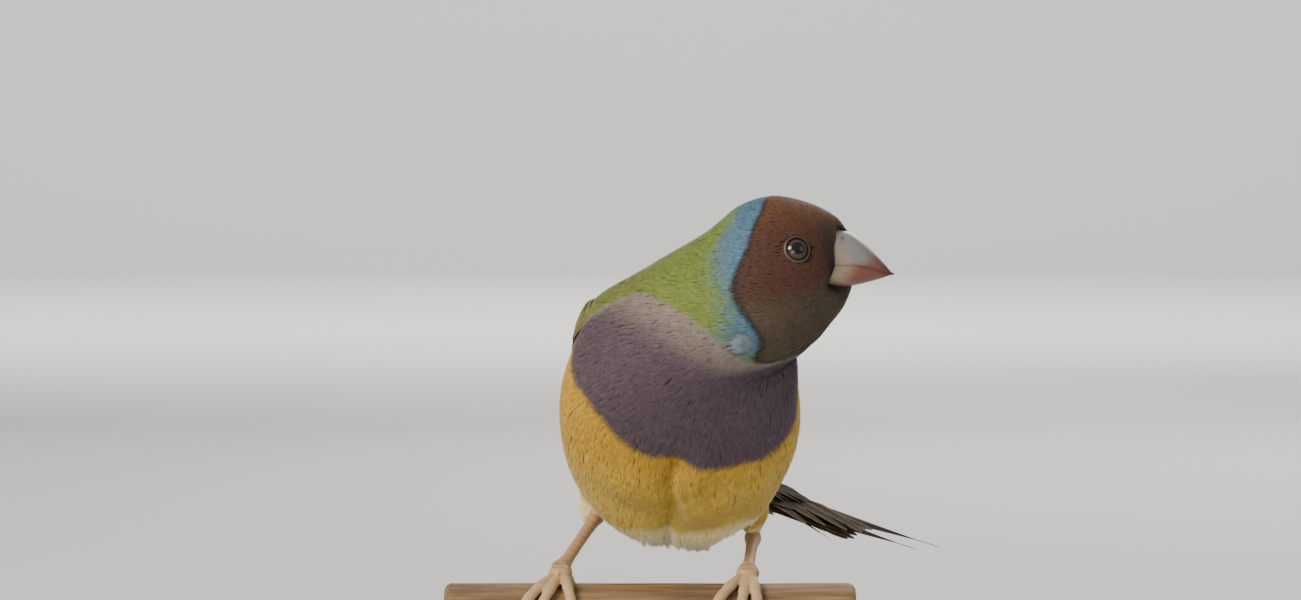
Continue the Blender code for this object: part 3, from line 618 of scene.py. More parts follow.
def flatten(mesh, name, spots):
    """Gives a mesh a map, with a spot for each corner of its faces."""
    mesh.uv_layers.new(name=name).data.foreach_set("uv", spots.astype(np.float32).ravel())


def blades_mesh(name, paths, outs, half_widths, colours, roots, material):
    """One mesh of many thin closed blades, three points round, each along its path to a tip."""
    count, stops = paths.shape[:2]
    ahead = unit(np.gradient(paths, axis=1))
    across = unit(np.cross(ahead, outs))
    wide = half_widths[:, :, None]
    ridge = wide * 0.16 + 0.008
    body = slice(0, stops - 1)
    rings = np.stack((
        paths[:, body] + across[:, body] * wide[:, body],
        paths[:, body] + outs[:, body] * ridge[:, body],
        paths[:, body] - across[:, body] * wide[:, body],
    ), 2).reshape(count, -1, 3)
    points = np.concatenate((rings, paths[:, -1:]), 1)
    per = points.shape[1]
    faces = []
    for k in range(stops - 2):
        for a, b in ((0, 1), (1, 2), (2, 0)):
            low, high = 3 * k, 3 * k + 3
            faces += [(low + a, low + b, high + b), (low + a, high + b, high + a)]
    last = 3 * (stops - 2)
    faces += [(last + a, last + b, per - 1) for a, b in ((0, 1), (1, 2), (2, 0))]
    faces.append((2, 1, 0))
    faces = np.array(faces)[:, ::-1]
    corner = (faces[None] + (np.arange(count) * per)[:, None, None]).reshape(-1)
    mesh = mesh_of(name, points.reshape(-1, 3), corner, np.arange(0, len(corner), 3))
    share = np.append(np.repeat(np.linspace(0, 1, stops)[:-1], 3), 1.0)
    stop = np.append(np.repeat(np.arange(stops - 1), 3), stops - 1)
    # Each blade is darker toward its root: partly the greyer down at a feather's base, partly painted shade
    # where it lies under the next feathers.
    tone = 0.86 + 0.15 * share
    paint(mesh, "plumage", (colours[:, stop] * tone[None, :, None]).reshape(-1, 3))
    side = np.append(np.tile((0.5, 0.0, -0.5), stops - 1), 0.0)
    patch = np.stack((side, share - 0.5), 1) * BAKE_PATCH
    spots = (roots[:, None, :] + patch[None]).reshape(-1, 2)
    flatten(mesh, "OFBake", spots[corner])
    mesh.shade_smooth()
    tilt = np.append(np.tile((0.18, 0.0, -0.18), stops - 1), 0.0)[None, :, None]
    soft = unit(outs[:, stop] + across[:, stop] * tilt)
    mesh.normals_split_custom_set_from_vertices(soft.reshape(-1, 3).astype(np.float32))
    return new_object(name, mesh, material)


def blade_rows(parts):
    """Turns values by blade, stop and feather into one row of stops for each blade."""
    stops = len(BLADE_STOPS)
    return np.array(parts).reshape(3, stops, -1, 3).transpose(2, 0, 1, 3).reshape(-1, stops, 3)


def grow_coat(name, first, last, seed, keep):
    """Contour feathers over the body from one place to another, with keep to thin some away."""
    random = np.random.default_rng(seed)
    grid = np.arange(-180, 181, 1.5)
    places, turns = [], []
    for row in np.arange(first, last, ROW_STEP):
        spot = np.full(len(grid), row)
        ahead, around = pace(spot, grid)
        length, blade = np.interp(row, *LENGTHS.T), np.interp(row, *BLADES.T)
        share = LAYERS / (0.7 * length * 2 * blade * 3) * keep(spot, grid)
        total = np.append(0, np.cumsum((share * ahead * around)[:-1] * ROW_STEP * 1.5))
        picks = np.arange(random.random(), total[-1], 1.0)
        turn = np.interp(picks, total, grid)
        turns.append(turn + random.normal(0, 0.5, len(turn)))
        places.append(row + ROW_STEP * random.uniform(-0.5, 0.5, len(turn)))
    places, turns = np.concatenate(places), np.concatenate(turns)
    count = len(places)
    wander = random.normal(0, 1, count).clip(-2, 2)
    length = np.interp(places, *LENGTHS.T) * random.uniform(0.94, 1.06, count)
    blade = np.interp(places, *BLADES.T) * random.uniform(0.85, 1.15, count)
    depth = coat_depth(places)
    lean = np.radians(random.normal(0, 4, count))
    loose = 0.03 + 0.3 * ease(beyond(VENT_EDGE, places, turns), -0.3, 0.3)
    stray = np.where(random.random(count) < 0.3 * loose - 0.01, random.uniform(0.15, 0.5, count), 0) * depth
    tip_lift = random.normal(0.0, 1.0, count) * loose * depth + stray
    ahead, around = pace(places, turns)
    ahead, around = np.maximum(ahead, 2.5), np.maximum(around, 0.025)
    for side, (eye_place, eye_turn) in EYE_SPOTS.items():
        gap = (places - eye_place) * ahead, signed(turns - eye_turn) * around
        before = bump_at(gap[0], -EYE_CLEAR, 1.3) * bump_at(gap[1], 0, 2.6)
        lean += before * np.sign(gap[1]) * 0.9
        room = np.hypot(*gap) - EYE_CLEAR + 0.25
        toward = (gap[0] < 0) & (abs(gap[1]) < EYE_CLEAR)
        length = np.where(toward, np.minimum(length, np.maximum(room + 0.2, 0.35)), length)
    paths, outs, colours = [], [], []
    shade = random.normal(1.0, 0.035, count).clip(0.9, 1.1)[:, None]
    for spread, reach in ((-1.0, 0.86), (0.0, 1.0), (1.0, 0.86)):
        jitter = random.normal(0, 0.12, count)
        for s, shown in zip(BLADE_STOPS, COLOUR_STOPS):
            spots = []
            for share in (s, shown):
                out_to = length * reach * share
                sideways = out_to * np.sin(lean) + (spread + jitter) * blade * 1.6 * share
                spots.append((places + out_to * np.cos(lean) / ahead, turns + sideways / around))
            lift = -(depth + 0.12) * (1 - s) ** 1.4 + tip_lift * s * s - 0.03 * abs(spread) * s
            point, out = over_body(*spots[0], lift)
            paths.append(point)
            outs.append(out)
            colours.append(markings(*spots[1], wander) * shade)
    paths, outs, colours = (blade_rows(part) for part in (paths, outs, colours))
    widths = np.repeat(blade, 3)[:, None] * np.append(BLADE_WIDTHS, 0)[None]
    roots = np.stack((((turns + 180) % 360) / 360, places / TAIL_ROOT), 1) * 0.96 + 0.02
    made = blades_mesh(name, paths, outs, widths, colours, np.repeat(roots, 3, 0), down_feather)
    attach(made, "root")
    return made


def clear_of_eyes(place, turn):
    """1 where feathers grow and 0 on the bare ring of each eye and on the bill's root."""
    points = in_scene(over_body(place, turn, np.zeros(len(place)))[0]) / MM
    keep = (behind_face(place, turn) > 0.0).astype(float)
    for spot in EYE_SPOTS.values():
        middle = in_scene(over_body(*np.array(spot)[:, None], np.zeros(1))[0])[0] / MM
        keep *= np.linalg.norm(points - middle, axis=1) > EYE_CLEAR
    return keep


# The folded wings' edges, as turns off the back at each place, and where their bends lie
WING_LOWER_EDGE = {
    "left": ((7.4, 52), (8.0, 62), (8.8, 69), (9.4, 71), (10.4, 67), (11.6, 61), (13.0, 48), (15.4, 20)),
    "right": ((6.9, 72), (7.4, 80), (8.2, 75), (9.4, 71), (10.4, 67), (11.6, 61), (13.0, 48), (15.4, 20)),
}
WING_UPPER_EDGE = ((6.9, 60), (7.4, 42), (8.2, 32), (9.2, 25), (10.4, 18), (11.6, 12), (13.0, 8), (15.4, 6))
WING_FRONT = {"left": 7.5, "right": 6.95}


def clear_of_wings(place, turn):
    """1 where feathers show and 0 well under the folded wings."""
    turn = signed(turn)
    high = np.interp(place, *np.array(WING_UPPER_EDGE).T) + 7
    keep = np.ones(len(place))
    for side, sign in (("left", 1), ("right", -1)):
        low = np.interp(place, *np.array(WING_LOWER_EDGE[side]).T) - 7
        keep[(sign * turn > high) & (sign * turn < low) & (place > WING_FRONT[side] + 0.8)] = 0
    return keep


# The pieces of the coat: where each begins and ends, what thins it and the name of a finish, which is not
# used: every piece wears the body feather material
COAT = (
    ("coat_face", -0.22, 1.9, clear_of_eyes, "red_plumage"),
    ("coat_cheek", 1.9, 2.75, clear_of_eyes, "red_plumage"),
    ("coat_crown", 2.75, 3.6, clear_of_eyes, "red_plumage"),
    ("coat_nape", 3.6, 4.8, clear_of_eyes, "green_plumage"),
    ("coat_collar", 4.8, 6.0, clear_of_wings, "green_plumage"),
    ("coat_breast", 6.0, 7.5, clear_of_wings, "purple_plumage"),
    ("coat_belly", 7.5, 8.4, clear_of_wings, "purple_plumage"),
    ("coat_flank", 8.4, 9.3, clear_of_wings, "cream_plumage"),
    ("coat_vent", 9.3, 10.7, clear_of_wings, "cream_plumage"),
    ("coat_rump", 10.7, 13.1, clear_of_wings, "cream_plumage"),
)
for seed, (name, first, last, keep, slot) in enumerate(COAT):
    grow_coat(name, first, last, seed + 20, keep)

# Thigh feathers. Loose down grows down each thigh, gold above and cream below, and ends over the
# top of the bare leg.
THIGH_FEATHERS = 520
THIGH_LENGTH = 3.4
THIGH_BLADE = 0.24

random = np.random.default_rng(51)
for side in THIGHS:
    share = random.random(THIGH_FEATHERS) ** 0.9 * 0.95
    turn = random.uniform(0, 360, THIGH_FEATHERS)
    length = THIGH_LENGTH * random.uniform(0.7, 1.1, THIGH_FEATHERS)
    run = sum(math.dist(a, b) for a, b in zip(THIGHS[side][0], THIGHS[side][0][1:]))
    paths, outs = [], []
    for spread in (-1, 0, 1):
        for s in BLADE_STOPS:
            spot = (share + length * s / run).clip(0, 1.18)
            sideways = turn + (spread * 9 + random.normal(0, 2, THIGH_FEATHERS)) * s
            lift = -0.5 + 0.75 * s + random.normal(0, 0.08, THIGH_FEATHERS) * s
            point, out = thigh_ring(side, spot, sideways, lift[:, None])
            paths.append(point)
            outs.append(out)
    paths, outs = blade_rows(paths), blade_rows(outs)
    widths = np.full((len(paths), 1), THIGH_BLADE) * np.append(BLADE_WIDTHS, 0)[None]
    colours = mix(PLUMAGE["cream"], PLUMAGE["gold"], 0.35 * random.random(THIGH_FEATHERS))
    colours = mix(PLUMAGE["gold"], colours, ease(share, 0.30, 0.62))
    colours = np.repeat(colours, 3, 0)[:, None].repeat(len(BLADE_STOPS), 1)
    roots = np.repeat(np.stack((turn / 360, share), 1) * 0.96 + 0.02, 3, 0)
    down = blades_mesh("coat_thigh_" + side, paths, outs, widths, colours, roots, down_feather)
    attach(down, "root")

# Wings. Each folded wing is a thin pad of flesh under overlapping rows of stiff feathers, from the
# small coverts at its bend down to the long primaries that reach back over the tail's root.
WING_LIFT = 0.35
VANE_STOPS = np.sin(np.linspace(0, math.pi / 2, 18))
# A vane cut across: share of the half width, share of the arch's height, and the face it is on
VANE_SECTION = np.array((
    (-1, 0, 0), (-0.6, 0.75, 0), (-0.1, 1, 0), (0, 1, 1), (0.1, 1, 0), (0.6, 0.75, 0), (1, 0, 0),
    (0.6, 0.75, -1), (0, 1, -1), (-0.6, 0.75, -1),
))
SHAFT_RISE = 0.10
VANE_THICKNESS = 0.12
VANE_ARCH = 0.16
BARB_SLANT = -0.9
BARB_TURN = 26.0
# Each row's number of feathers; the place, share across and its step where they start; the place,
# its step, share across and its step where they end; the lift at both ends; the half width
WING_ROWS = {
    "primary": (7, (9.6, 0.06, 0.05), (16.9, -0.33, 0.10, 0.095), (0.05, -1.50), 1.4),
    "secondary": (8, (9.3, 0.20, 0.07), (13.4, -0.09, 0.30, 0.075), (0.30, 0.45), 1.4),
    "tertial": (3, (9.0, 0.62, 0.12), (13.0, -0.55, 0.80, 0.07), (0.30, 0.25), 2.0),
    "primary_covert": (6, (7.8, 0.07, 0.03), (9.9, 0.16, 0.08, 0.035), (0.05, 0.50), 1.15),
    "greater_covert": (12, (8.4, 0.10, 0.075), (10.2, -0.03, 0.12, 0.078), (0.30, 0.72), 1.1),
    "median_covert": (12, (7.8, 0.08, 0.078), (9.4, -0.02, 0.10, 0.080), (0.25, 0.76), 1.1),
    "lesser_covert": (13, (7.4, 0.06, 0.075), (8.8, -0.02, 0.07, 0.077), (0.15, 0.78), 1.05),
    "marginal_covert": (13, (7.1, 0.05, 0.075), (8.3, -0.01, 0.06, 0.077), (0.00, 0.76), 1.0),
    "bend": (13, (6.9, 0.04, 0.075), (7.8, -0.01, 0.05, 0.077), (-0.45, 0.70), 0.95),
}
WING_COLOURS = {
    "primary": ("332c27", "5d5242"), "secondary": ("3d3a28", "68643c"), "tertial": ("4c4d2b", "6f713f"),
    "primary_covert": ("3b352b", "6b6242"), "greater_covert": ("545c2e", "707641"),
    "median_covert": ("5f6936", "767d48"), "lesser_covert": ("687038", "7c824b"),
    "marginal_covert": ("6f6e46", "807e58"), "bend": ("77744f", "8b8662"),
}
BEND_BROWN = ("665a42", "7a6c50")
TUCK = 0.9
UPPER_TUCK = 0.6

# Flight feather: stiff keratin vanes of slanting barbs on both sides of a shaft, matt with a dull
# gloss. The barbs are drawn 0.24 mm apart, coarser than real ones, so that they show.
flight_feather, tree, shader = new_material("flight_feather")
vane = add(tree, "SeparateXYZ", Vector=add(tree, "UVMap", uv_map="vane").outputs["UV"])
off_shaft = add(tree, "Math", operation="ABSOLUTE", I0=vane.outputs["X"])
slant = add(
    tree, "Math", operation="MULTIPLY_ADD", I0=off_shaft.outputs[0], I1=BARB_SLANT, I2=vane.outputs["Y"]
)
phase = add(tree, "Math", operation="MULTIPLY", I0=slant.outputs[0], I1=BARB_TURN)
barbs = add(tree, "Math", operation="SINE", I0=phase.outputs[0])
vary(tree, shader, "plumage", barbs.outputs[0], 0.92, 1.06, -1.0, 1.0)
ridges = add(tree, "Bump", Height=barbs.outputs[0], Strength=0.25, Distance=0.00004)
tree.links.new(ridges.outputs["Normal"], shader.inputs["Normal"])
tune(shader, Roughness=0.75, Specular_IOR_Level=0.12)


def vanes_mesh(name, feathers, roots, material):
    """One mesh of closed stiff feathers, each with a shaft, an arched vane and an edge colour."""
    paths, outs, widths, inner, edges = (np.array(part) for part in zip(*feathers))
    count, stops = paths.shape[:2]
    ahead = unit(np.gradient(paths, axis=1))
    across = unit(np.cross(ahead, outs))
    rise = np.cross(across, ahead)
    sides, thin = len(VANE_SECTION), (1 - 0.6 * VANE_STOPS)[None, :, None]
    wide = widths[:, :, None] * VANE_SECTION[None, None, :, 0]
    face = np.where(VANE_SECTION[:, 2] > 0, SHAFT_RISE, VANE_THICKNESS) * VANE_SECTION[:, 2]
    height = VANE_ARCH * widths[:, :, None] * VANE_SECTION[None, None, :, 1] + thin * face
    points = paths[:, :, None] + across[:, :, None] * wide[..., None] + rise[:, :, None] * height[..., None]
    quads = []
    for k in range(stops - 1):
        for j in range(sides):
            a, b = k * sides + j, k * sides + (j + 1) % sides
            quads.append((a, b, b + sides, a + sides))
    caps = [tuple(reversed(range(sides))), tuple(range((stops - 1) * sides, stops * sides))]
    one = np.concatenate([np.array(quads).ravel(), np.array(caps).ravel()])
    starts = np.append(np.arange(len(quads)) * 4, len(quads) * 4 + np.arange(2) * sides)
    corner = (one[None] + (np.arange(count) * stops * sides)[:, None]).ravel()
    start = (starts[None] + (np.arange(count) * len(one))[:, None]).ravel()
    mesh = mesh_of(name, points.reshape(-1, 3), corner, start)
    side_share = abs(VANE_SECTION[:, 0])
    rim = np.maximum((side_share > 0.9)[None, None, :] * 1.0, ease(VANE_STOPS, 0.9, 1.0)[None, :, None])
    colours = inner[:, None, None] * (1 - rim[..., None]) + edges[:, None, None] * rim[..., None]
    paint(mesh, "plumage", colours.reshape(-1, 3))
    steps = np.append(0, np.linalg.norm(np.diff(paths, axis=1), axis=2).mean(0)).cumsum()
    flat = np.stack((wide, np.broadcast_to(steps[None, :, None], wide.shape)), -1).reshape(-1, 2)
    flatten(mesh, "vane", flat[corner])
    patch = np.stack(np.broadcast_arrays(VANE_SECTION[None, :, 0] / 2, VANE_STOPS[:, None] - 0.5), -1)
    spots = (np.array(roots)[:, None, None] + patch[None] * BAKE_PATCH).reshape(-1, 2)
    flatten(mesh, "OFBake", spots[corner])
    mesh.shade_smooth()
    mesh.set_sharp_from_angle(angle=math.radians(50))
    return new_object(name, mesh, material)


def vane_widths(half, taper, random, blunt=8):
    """Half widths along a feather: narrow at the quill, full, then round at the end, with splits."""
    s = VANE_STOPS
    width = half * (0.35 + 0.65 * ease(s, 0, 0.3)) * (1 - taper * s**2) * np.sqrt(1.03 - s**blunt)
    for _ in range(random.integers(0, 3)):
        width[random.integers(6, len(s) - 3)] *= 0.82
    return width


def wing_turn(side, place, across):
    """The turn on a folded wing at a share of its width from the lower edge."""
    low = np.interp(place, *np.array(WING_LOWER_EDGE["left" if side > 0 else "right"]).T)
    return side * (low + (np.interp(place, *np.array(WING_UPPER_EDGE).T) - low) * across)


for word, side in (("left", 1), ("right", -1)):
    random = np.random.default_rng(61 + side)
    feathers, roots = [], []
    for row, (count, start, end, lifts, half) in WING_ROWS.items():
        for k in range(count):
            first = max(start[0], WING_FRONT[word] + 0.05)
            across = start[1] + start[2] * k + (end[2] + end[3] * k - start[1] - start[2] * k) * VANE_STOPS
            stagger = (0.09 * (-1) ** k + random.normal(0, 0.05)) * (half < 1.3)
            place = first + (end[0] + end[1] * k + stagger - first) * VANE_STOPS
            turn = wing_turn(side, place, across)
            lift = lifts[0] + 0.025 * k + (lifts[1] - lifts[0]) * VANE_STOPS + random.normal(0, 0.03)
            lift -= TUCK * (1 - ease(across, 0, 0.25)) * (1 - ease(place, 10.5, 12.5))
            lift -= UPPER_TUCK * ease(across, 0.55, 0.9) * (1 - ease(place, 12.5, 14.5))
            points, outs = over_body(place, turn, WING_LIFT + lift)
            taper, blunt = (0.75, 8) if row == "primary" else (0.1, 8 if half > 1.3 else 3.5)
            widths = vane_widths(half * random.uniform(0.93, 1.07), taper, random, blunt)
            codes = BEND_BROWN if k < 2 and half < 1.12 else WING_COLOURS[row]
            inner, edge = (np.array(linear(code)) * random.normal(1, 0.06) for code in codes)
            feathers.append((points, outs, widths, inner, edge))
            roots.append((0.05 + 0.9 * (place[0] - 6.9) / 6, 0.05 + 0.85 * across[0]))
    made = vanes_mesh("feathers_wing_" + word, feathers, roots, flight_feather)
    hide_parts("wing_" + word)
    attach(made, "root")

# Tail. Ten graduated black feathers lie under two long ones drawn out to thin points, and the
# fan is rolled so that its left edge hangs. Coverts close its root above and below.
TAIL_START = np.array((12.4, 29.4, 12.6))
TAIL_END = np.array((54.0, 75.0, -4.0))
TAIL_ROLL = 35.0
tail_ahead = Vector(TAIL_END - TAIL_START).normalized()
flat_side = tail_ahead.cross(Vector((0, 0, 1))).normalized()
tail_side = Matrix.Rotation(math.radians(TAIL_ROLL), 3, tail_ahead) @ flat_side
tail_up = tail_side.cross(tail_ahead)
TAIL_FRAME = np.array((tail_ahead, tail_side, tail_up))
# The fan's pairs from the outermost in: how far along and across the lower and the upper one end
TAIL_FEATHERS = (
    (33, 3.9, 33, -1.3), (35, 3.6, 36, -1.1), (36.5, 2.5, 39, -0.9), (38.5, 1.5, 41, -0.6),
    (40, 0.8, 43, -0.4),
)
# The two long ones: length, where each starts and ends across, and its bow
LONG_PAIR = ((53.0, 0.9, 3.0, -0.5), (63.6, -0.5, -0.9, -0.9))
# Coverts by their place across and their length
UPPER_COVERTS = (
    (2.4, 15), (-3.3, 17), (-2.6, 23), (1.2, 17), (-3.2, 21), (-1.9, 26), (0.1, 21), (-0.9, 24),
)
WIDE_COVERTS = ((-2.2, 27), (2.0, 24), (0.0, 29))
UNDER_COVERTS = ((-2.4, 12), (2.4, 12), (-1.1, 15), (1.1, 15), (0, 17))
# Feathers that hang from the left edge, and single barbs that stray, each from start to end
DROOPING = (
    ((24.5, -1.6), (36.3, 3.2)), ((19.0, -1.4), (31.4, 3.9)), ((13.0, -1.0), (24.8, 4.4)),
    ((8.0, -0.4), (18.5, 5.6)),
)
STRAY_BARBS = (
    ((17, 5.0, 0), (22.8, 8.6, 0), -1.0), ((16, 5.2, 0.1), (21.0, 7.4, 0), -0.7),
    ((21, 3.6, 0), (25.2, 5.6, 0), -0.8),
)


def tail_feather(start, end, widths, bend, inner, edge):
    """A feather between two tail places: lengths along, across and up, and how it bends in each."""
    spots = np.array(start) + (np.array(end) - start) * VANE_STOPS[:, None]
    spots += np.array(bend) * np.sin(math.pi * VANE_STOPS)[:, None]
    points = TAIL_START + spots @ TAIL_FRAME
    outs = np.tile(TAIL_FRAME[2], (len(points), 1))
    return points, outs, widths, np.array(linear(inner)), np.array(linear(edge))


random = np.random.default_rng(71)
s = VANE_STOPS
feathers = []
for k, (low_length, low_across, high_length, high_across) in enumerate(TAIL_FEATHERS):
    for side, length, across in ((1, low_length, low_across), (-1, high_length, high_across)):
        start = (0.4, 0.9 - 0.25 * k if side > 0 else 0.4 * k - 2.0, -0.9 + 0.28 * k)
        end = (length, across, -1.0 + 0.28 * k)
        widths = vane_widths(1.75, 0.05, random)
        feathers.append(tail_feather(start, end, widths, (0, 0, 0.4), "3a2d20", "746547"))
for length, first, across, bow in LONG_PAIR:
    widths = 1.9 * (0.5 + 0.5 * ease(s, 0, 0.3)) * np.maximum(1 - 2.4 * np.maximum(s - 0.5, 0), 0.05)
    start, end = (5.0, first, 0.75), (length, across, 0.5)
    feathers.append(tail_feather(start, end, widths, (0, bow, -0.5), "211a15", "302820"))
for across, length in UPPER_COVERTS:
    start, end = (0.8, across * 0.6, 2.1), (length, across * 0.8, 1.1)
    widths = vane_widths(1.7, 0.3, random, 3)
    feathers.append(tail_feather(start, end, widths, (0, 0, 0.9), "382c21", "5d503b"))
for across, length in WIDE_COVERTS:
    start, end = (0.6, across * 0.6, 0.9), (length, across, 0.5)
    widths = vane_widths(2.4, 0.1, random, 3)
    feathers.append(tail_feather(start, end, widths, (0, 0, 0.4), "30261d", "544733"))
for k, (start, end) in enumerate(DROOPING):
    start, end = (*start, 1.1 - 0.2 * k), (*end, 0.7 - 0.15 * k)
    widths = vane_widths(2.0, 0.1, random, 3)
    feathers.append(tail_feather(start, end, widths, (0, 0.4, 0.3), "473929", "7c6d50"))
for across, length in UNDER_COVERTS:
    start, end = (0.5, across * 0.6, -1.5), (length, across * 1.1, -2.0)
    widths = vane_widths(1.8, 0.1, random)
    feathers.append(tail_feather(start, end, widths, (0, 0, 0.4), "d8ccaa", "efe6cc"))
for start, end, bow in STRAY_BARBS:
    feathers.append(tail_feather(start, end, 0.1 * (1.2 - s), (0, bow, 0), "2a2420", "2a2420"))
roots = random.uniform(0.05, 0.95, (len(feathers), 2))
tail = vanes_mesh("feathers_tail", feathers, roots, flight_feather)
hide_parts("tail")
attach(tail, "root")

# Eyes. Glass balls, dark brown round a black pupil, set in the head behind a bare pale ring of
# lid skin that follows the head.
EYE_RADIUS = 2.35
EYE_SINK = 1.55
# Colours of the pupil, the iris and its rim, by their share of a quarter turn off the middle
IRIS_RINGS = ((0.28, "17100d"), (0.33, "46352b"), (0.52, "241913"))
LID_COLOURS = dyes({"dark": "3a2c25", "pale": "5d5145"})
# The lid cut across: how far off the eye's middle, and the height over the plumage
LID_PROFILE = (
    (1.86, 0.28), (1.91, 0.35), (1.98, 0.34), (2.04, 0.30), (2.09, 0.29), (2.15, 0.27), (2.20, 0.17),
    (2.26, -0.5), (1.8, -0.5),
)



def set_stops(ramp, stops):
    """Gives a colour ramp its stops, each a position and a colour."""
    for _ in stops[2:]:
        ramp.color_ramp.elements.new(0.5)
    for stop, (position, code) in zip(ramp.color_ramp.elements, stops):
        stop.position = position
        stop.color = (*linear(code), 1)


# Eye glass: blown, dark brown, very smooth and wet-looking
glass_eye, tree, shader = new_material("glass_eye")
reach = add(tree, "Attribute", attribute_name="iris")
ramp = add(tree, "ValToRGB", Fac=reach.outputs["Fac"])
set_stops(ramp, IRIS_RINGS)
tree.links.new(ramp.outputs["Color"], shader.inputs["Base Color"])
tune(shader, Roughness=0.12, Coat_Weight=0.4, Coat_Roughness=0.03, Specular_IOR_Level=0.25)

# Lid skin: bare, thin and matt, with a grain about 0.2 mm across
lid_skin, tree, shader = new_material("lid_skin")
place = add(tree, "TexCoord")
grain = add(tree, "TexNoise", Vector=place.outputs["Object"], Scale=5000.0, Detail=2.0)
vary(tree, shader, "lid", grain.outputs["Fac"], 0.85, 1.12)
tune(shader, Roughness=0.5)

for word in ("left", "right"):
    surface, out = over_body(*np.array(EYE_SPOTS[word])[:, None], np.zeros(1))
    surface, out = Vector(in_scene(surface)[0]), Vector(out[0])
    middle = surface - out * EYE_SINK * MM
    facing = out.to_track_quat("Z", "Y").to_matrix().to_4x4()
    shape = bmesh.new()
    bmesh.ops.create_uvsphere(shape, u_segments=48, v_segments=32, radius=EYE_RADIUS * MM)
    heights = np.array([vert.co.z for vert in shape.verts]) / (EYE_RADIUS * MM)
    iris = (np.arccos(heights.clip(-1, 1)) / (math.pi / 2)).astype(np.float32)
    bmesh.ops.transform(shape, verts=shape.verts, matrix=Matrix.Translation(middle) @ facing)
    ball = from_bmesh("eye_ball_" + word, shape, glass_eye, 180)
    ball.data.attributes.new("iris", "FLOAT", "POINT").data.foreach_set("value", iris)
    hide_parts("eye_" + word)
    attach(ball, "root")
    shape = bmesh.new()
    corners = [shape.verts.new((reach * MM, 0, lift * MM)) for reach, lift in LID_PROFILE]
    edges = [shape.edges.new(pair) for pair in zip(corners, corners[1:] + corners[:1])]
    bmesh.ops.spin(
        shape, geom=corners + edges, cent=(0, 0, 0), axis=(0, 0, 1), angle=math.tau, steps=72, use_merge=True
    )
    for vert in shape.verts:
        reach = math.hypot(vert.co.x, vert.co.y) / MM
        turn = math.atan2(vert.co.y, vert.co.x)
        vert.co.z -= reach**2 / 26 * MM
        vert.co.z += 0.035 * MM * math.cos(turn * 26) * (2.05 < reach < 2.22)
    reaches = np.array([math.hypot(vert.co.x, vert.co.y) / MM for vert in shape.verts])
    bmesh.ops.transform(shape, verts=shape.verts, matrix=Matrix.Translation(surface) @ facing)
    lid = from_bmesh("lid_" + word, shape, lid_skin, 60)
    pale = ease(reaches, 2.08, 2.13) * (1 - ease(reaches, 2.16, 2.24))
    paint(lid.data, "lid", mix(LID_COLOURS["dark"], LID_COLOURS["pale"], pale))
    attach(lid, "root")

# Bill. Smooth horn in two halves, greyish with a coral point and a cream root, with a nostril on
# each side of the upper half. Both halves run back under the face feathers.
BILL_MIDDLE = -11.0
# How far ahead, the heights of ridge, mouth and lower edge, and the two halves' half widths
BILL_SECTIONS = np.array((
    (27.6, 57.6, 51.7, 47.9, 5.0, 5.1),
    (28.8, 57.7, 51.6, 47.9, 4.8, 4.9),
    (30.2, 57.5, 51.45, 47.9, 4.45, 4.5),
    (31.4, 57.2, 51.5, 47.95, 4.1, 4.1),
    (32.8, 56.7, 51.6, 48.15, 3.75, 3.7),
    (34.5, 55.4, 51.4, 48.5, 3.15, 3.1),
    (36.2, 53.75, 50.95, 48.95, 2.35, 2.3),
    (37.7, 52.15, 50.5, 49.4, 1.45, 1.4),
    (39.0, 50.6, 50.1, 49.85, 0.6, 0.55),
    (39.6, 49.95, 49.92, 49.9, 0.06, 0.06),
))
NOSTRIL = (31.3, 55.9)
MOUTH_LEVEL = 51.4
# Of these colours, nostril is painted shade for the nostrils' openings and mouth is painted shade along the
# mouth line.
BILL_COLOURS = dyes({
    "root": "a08f7c", "grey": "7f7b79", "coral": "74463b", "nostril": "3a3431", "lower_root": "a39079",
    "lower_coral": "764438", "point": "4a1f1c", "mouth": "5a4436",
})

# Bill horn: smooth keratin, softly glossy and a little translucent, with faint growth streaks
# about 4 mm long and 0.6 mm wide
bill_horn, tree, shader = new_material("bill_horn")
place = add(tree, "TexCoord")
grain = add(tree, "Mapping", Vector=place.outputs["Object"], Scale=(250.0, 1600.0, 1600.0))
streaks = add(tree, "TexNoise", Vector=grain.outputs["Vector"], Scale=1.0, Detail=3.0)
vary(tree, shader, "horn", streaks.outputs["Fac"], 0.93, 1.05)
tune(shader, Roughness=0.38, Subsurface_Weight=0.12, Subsurface_Radius=(0.8 * MM, 0.4 * MM, 0.3 * MM))

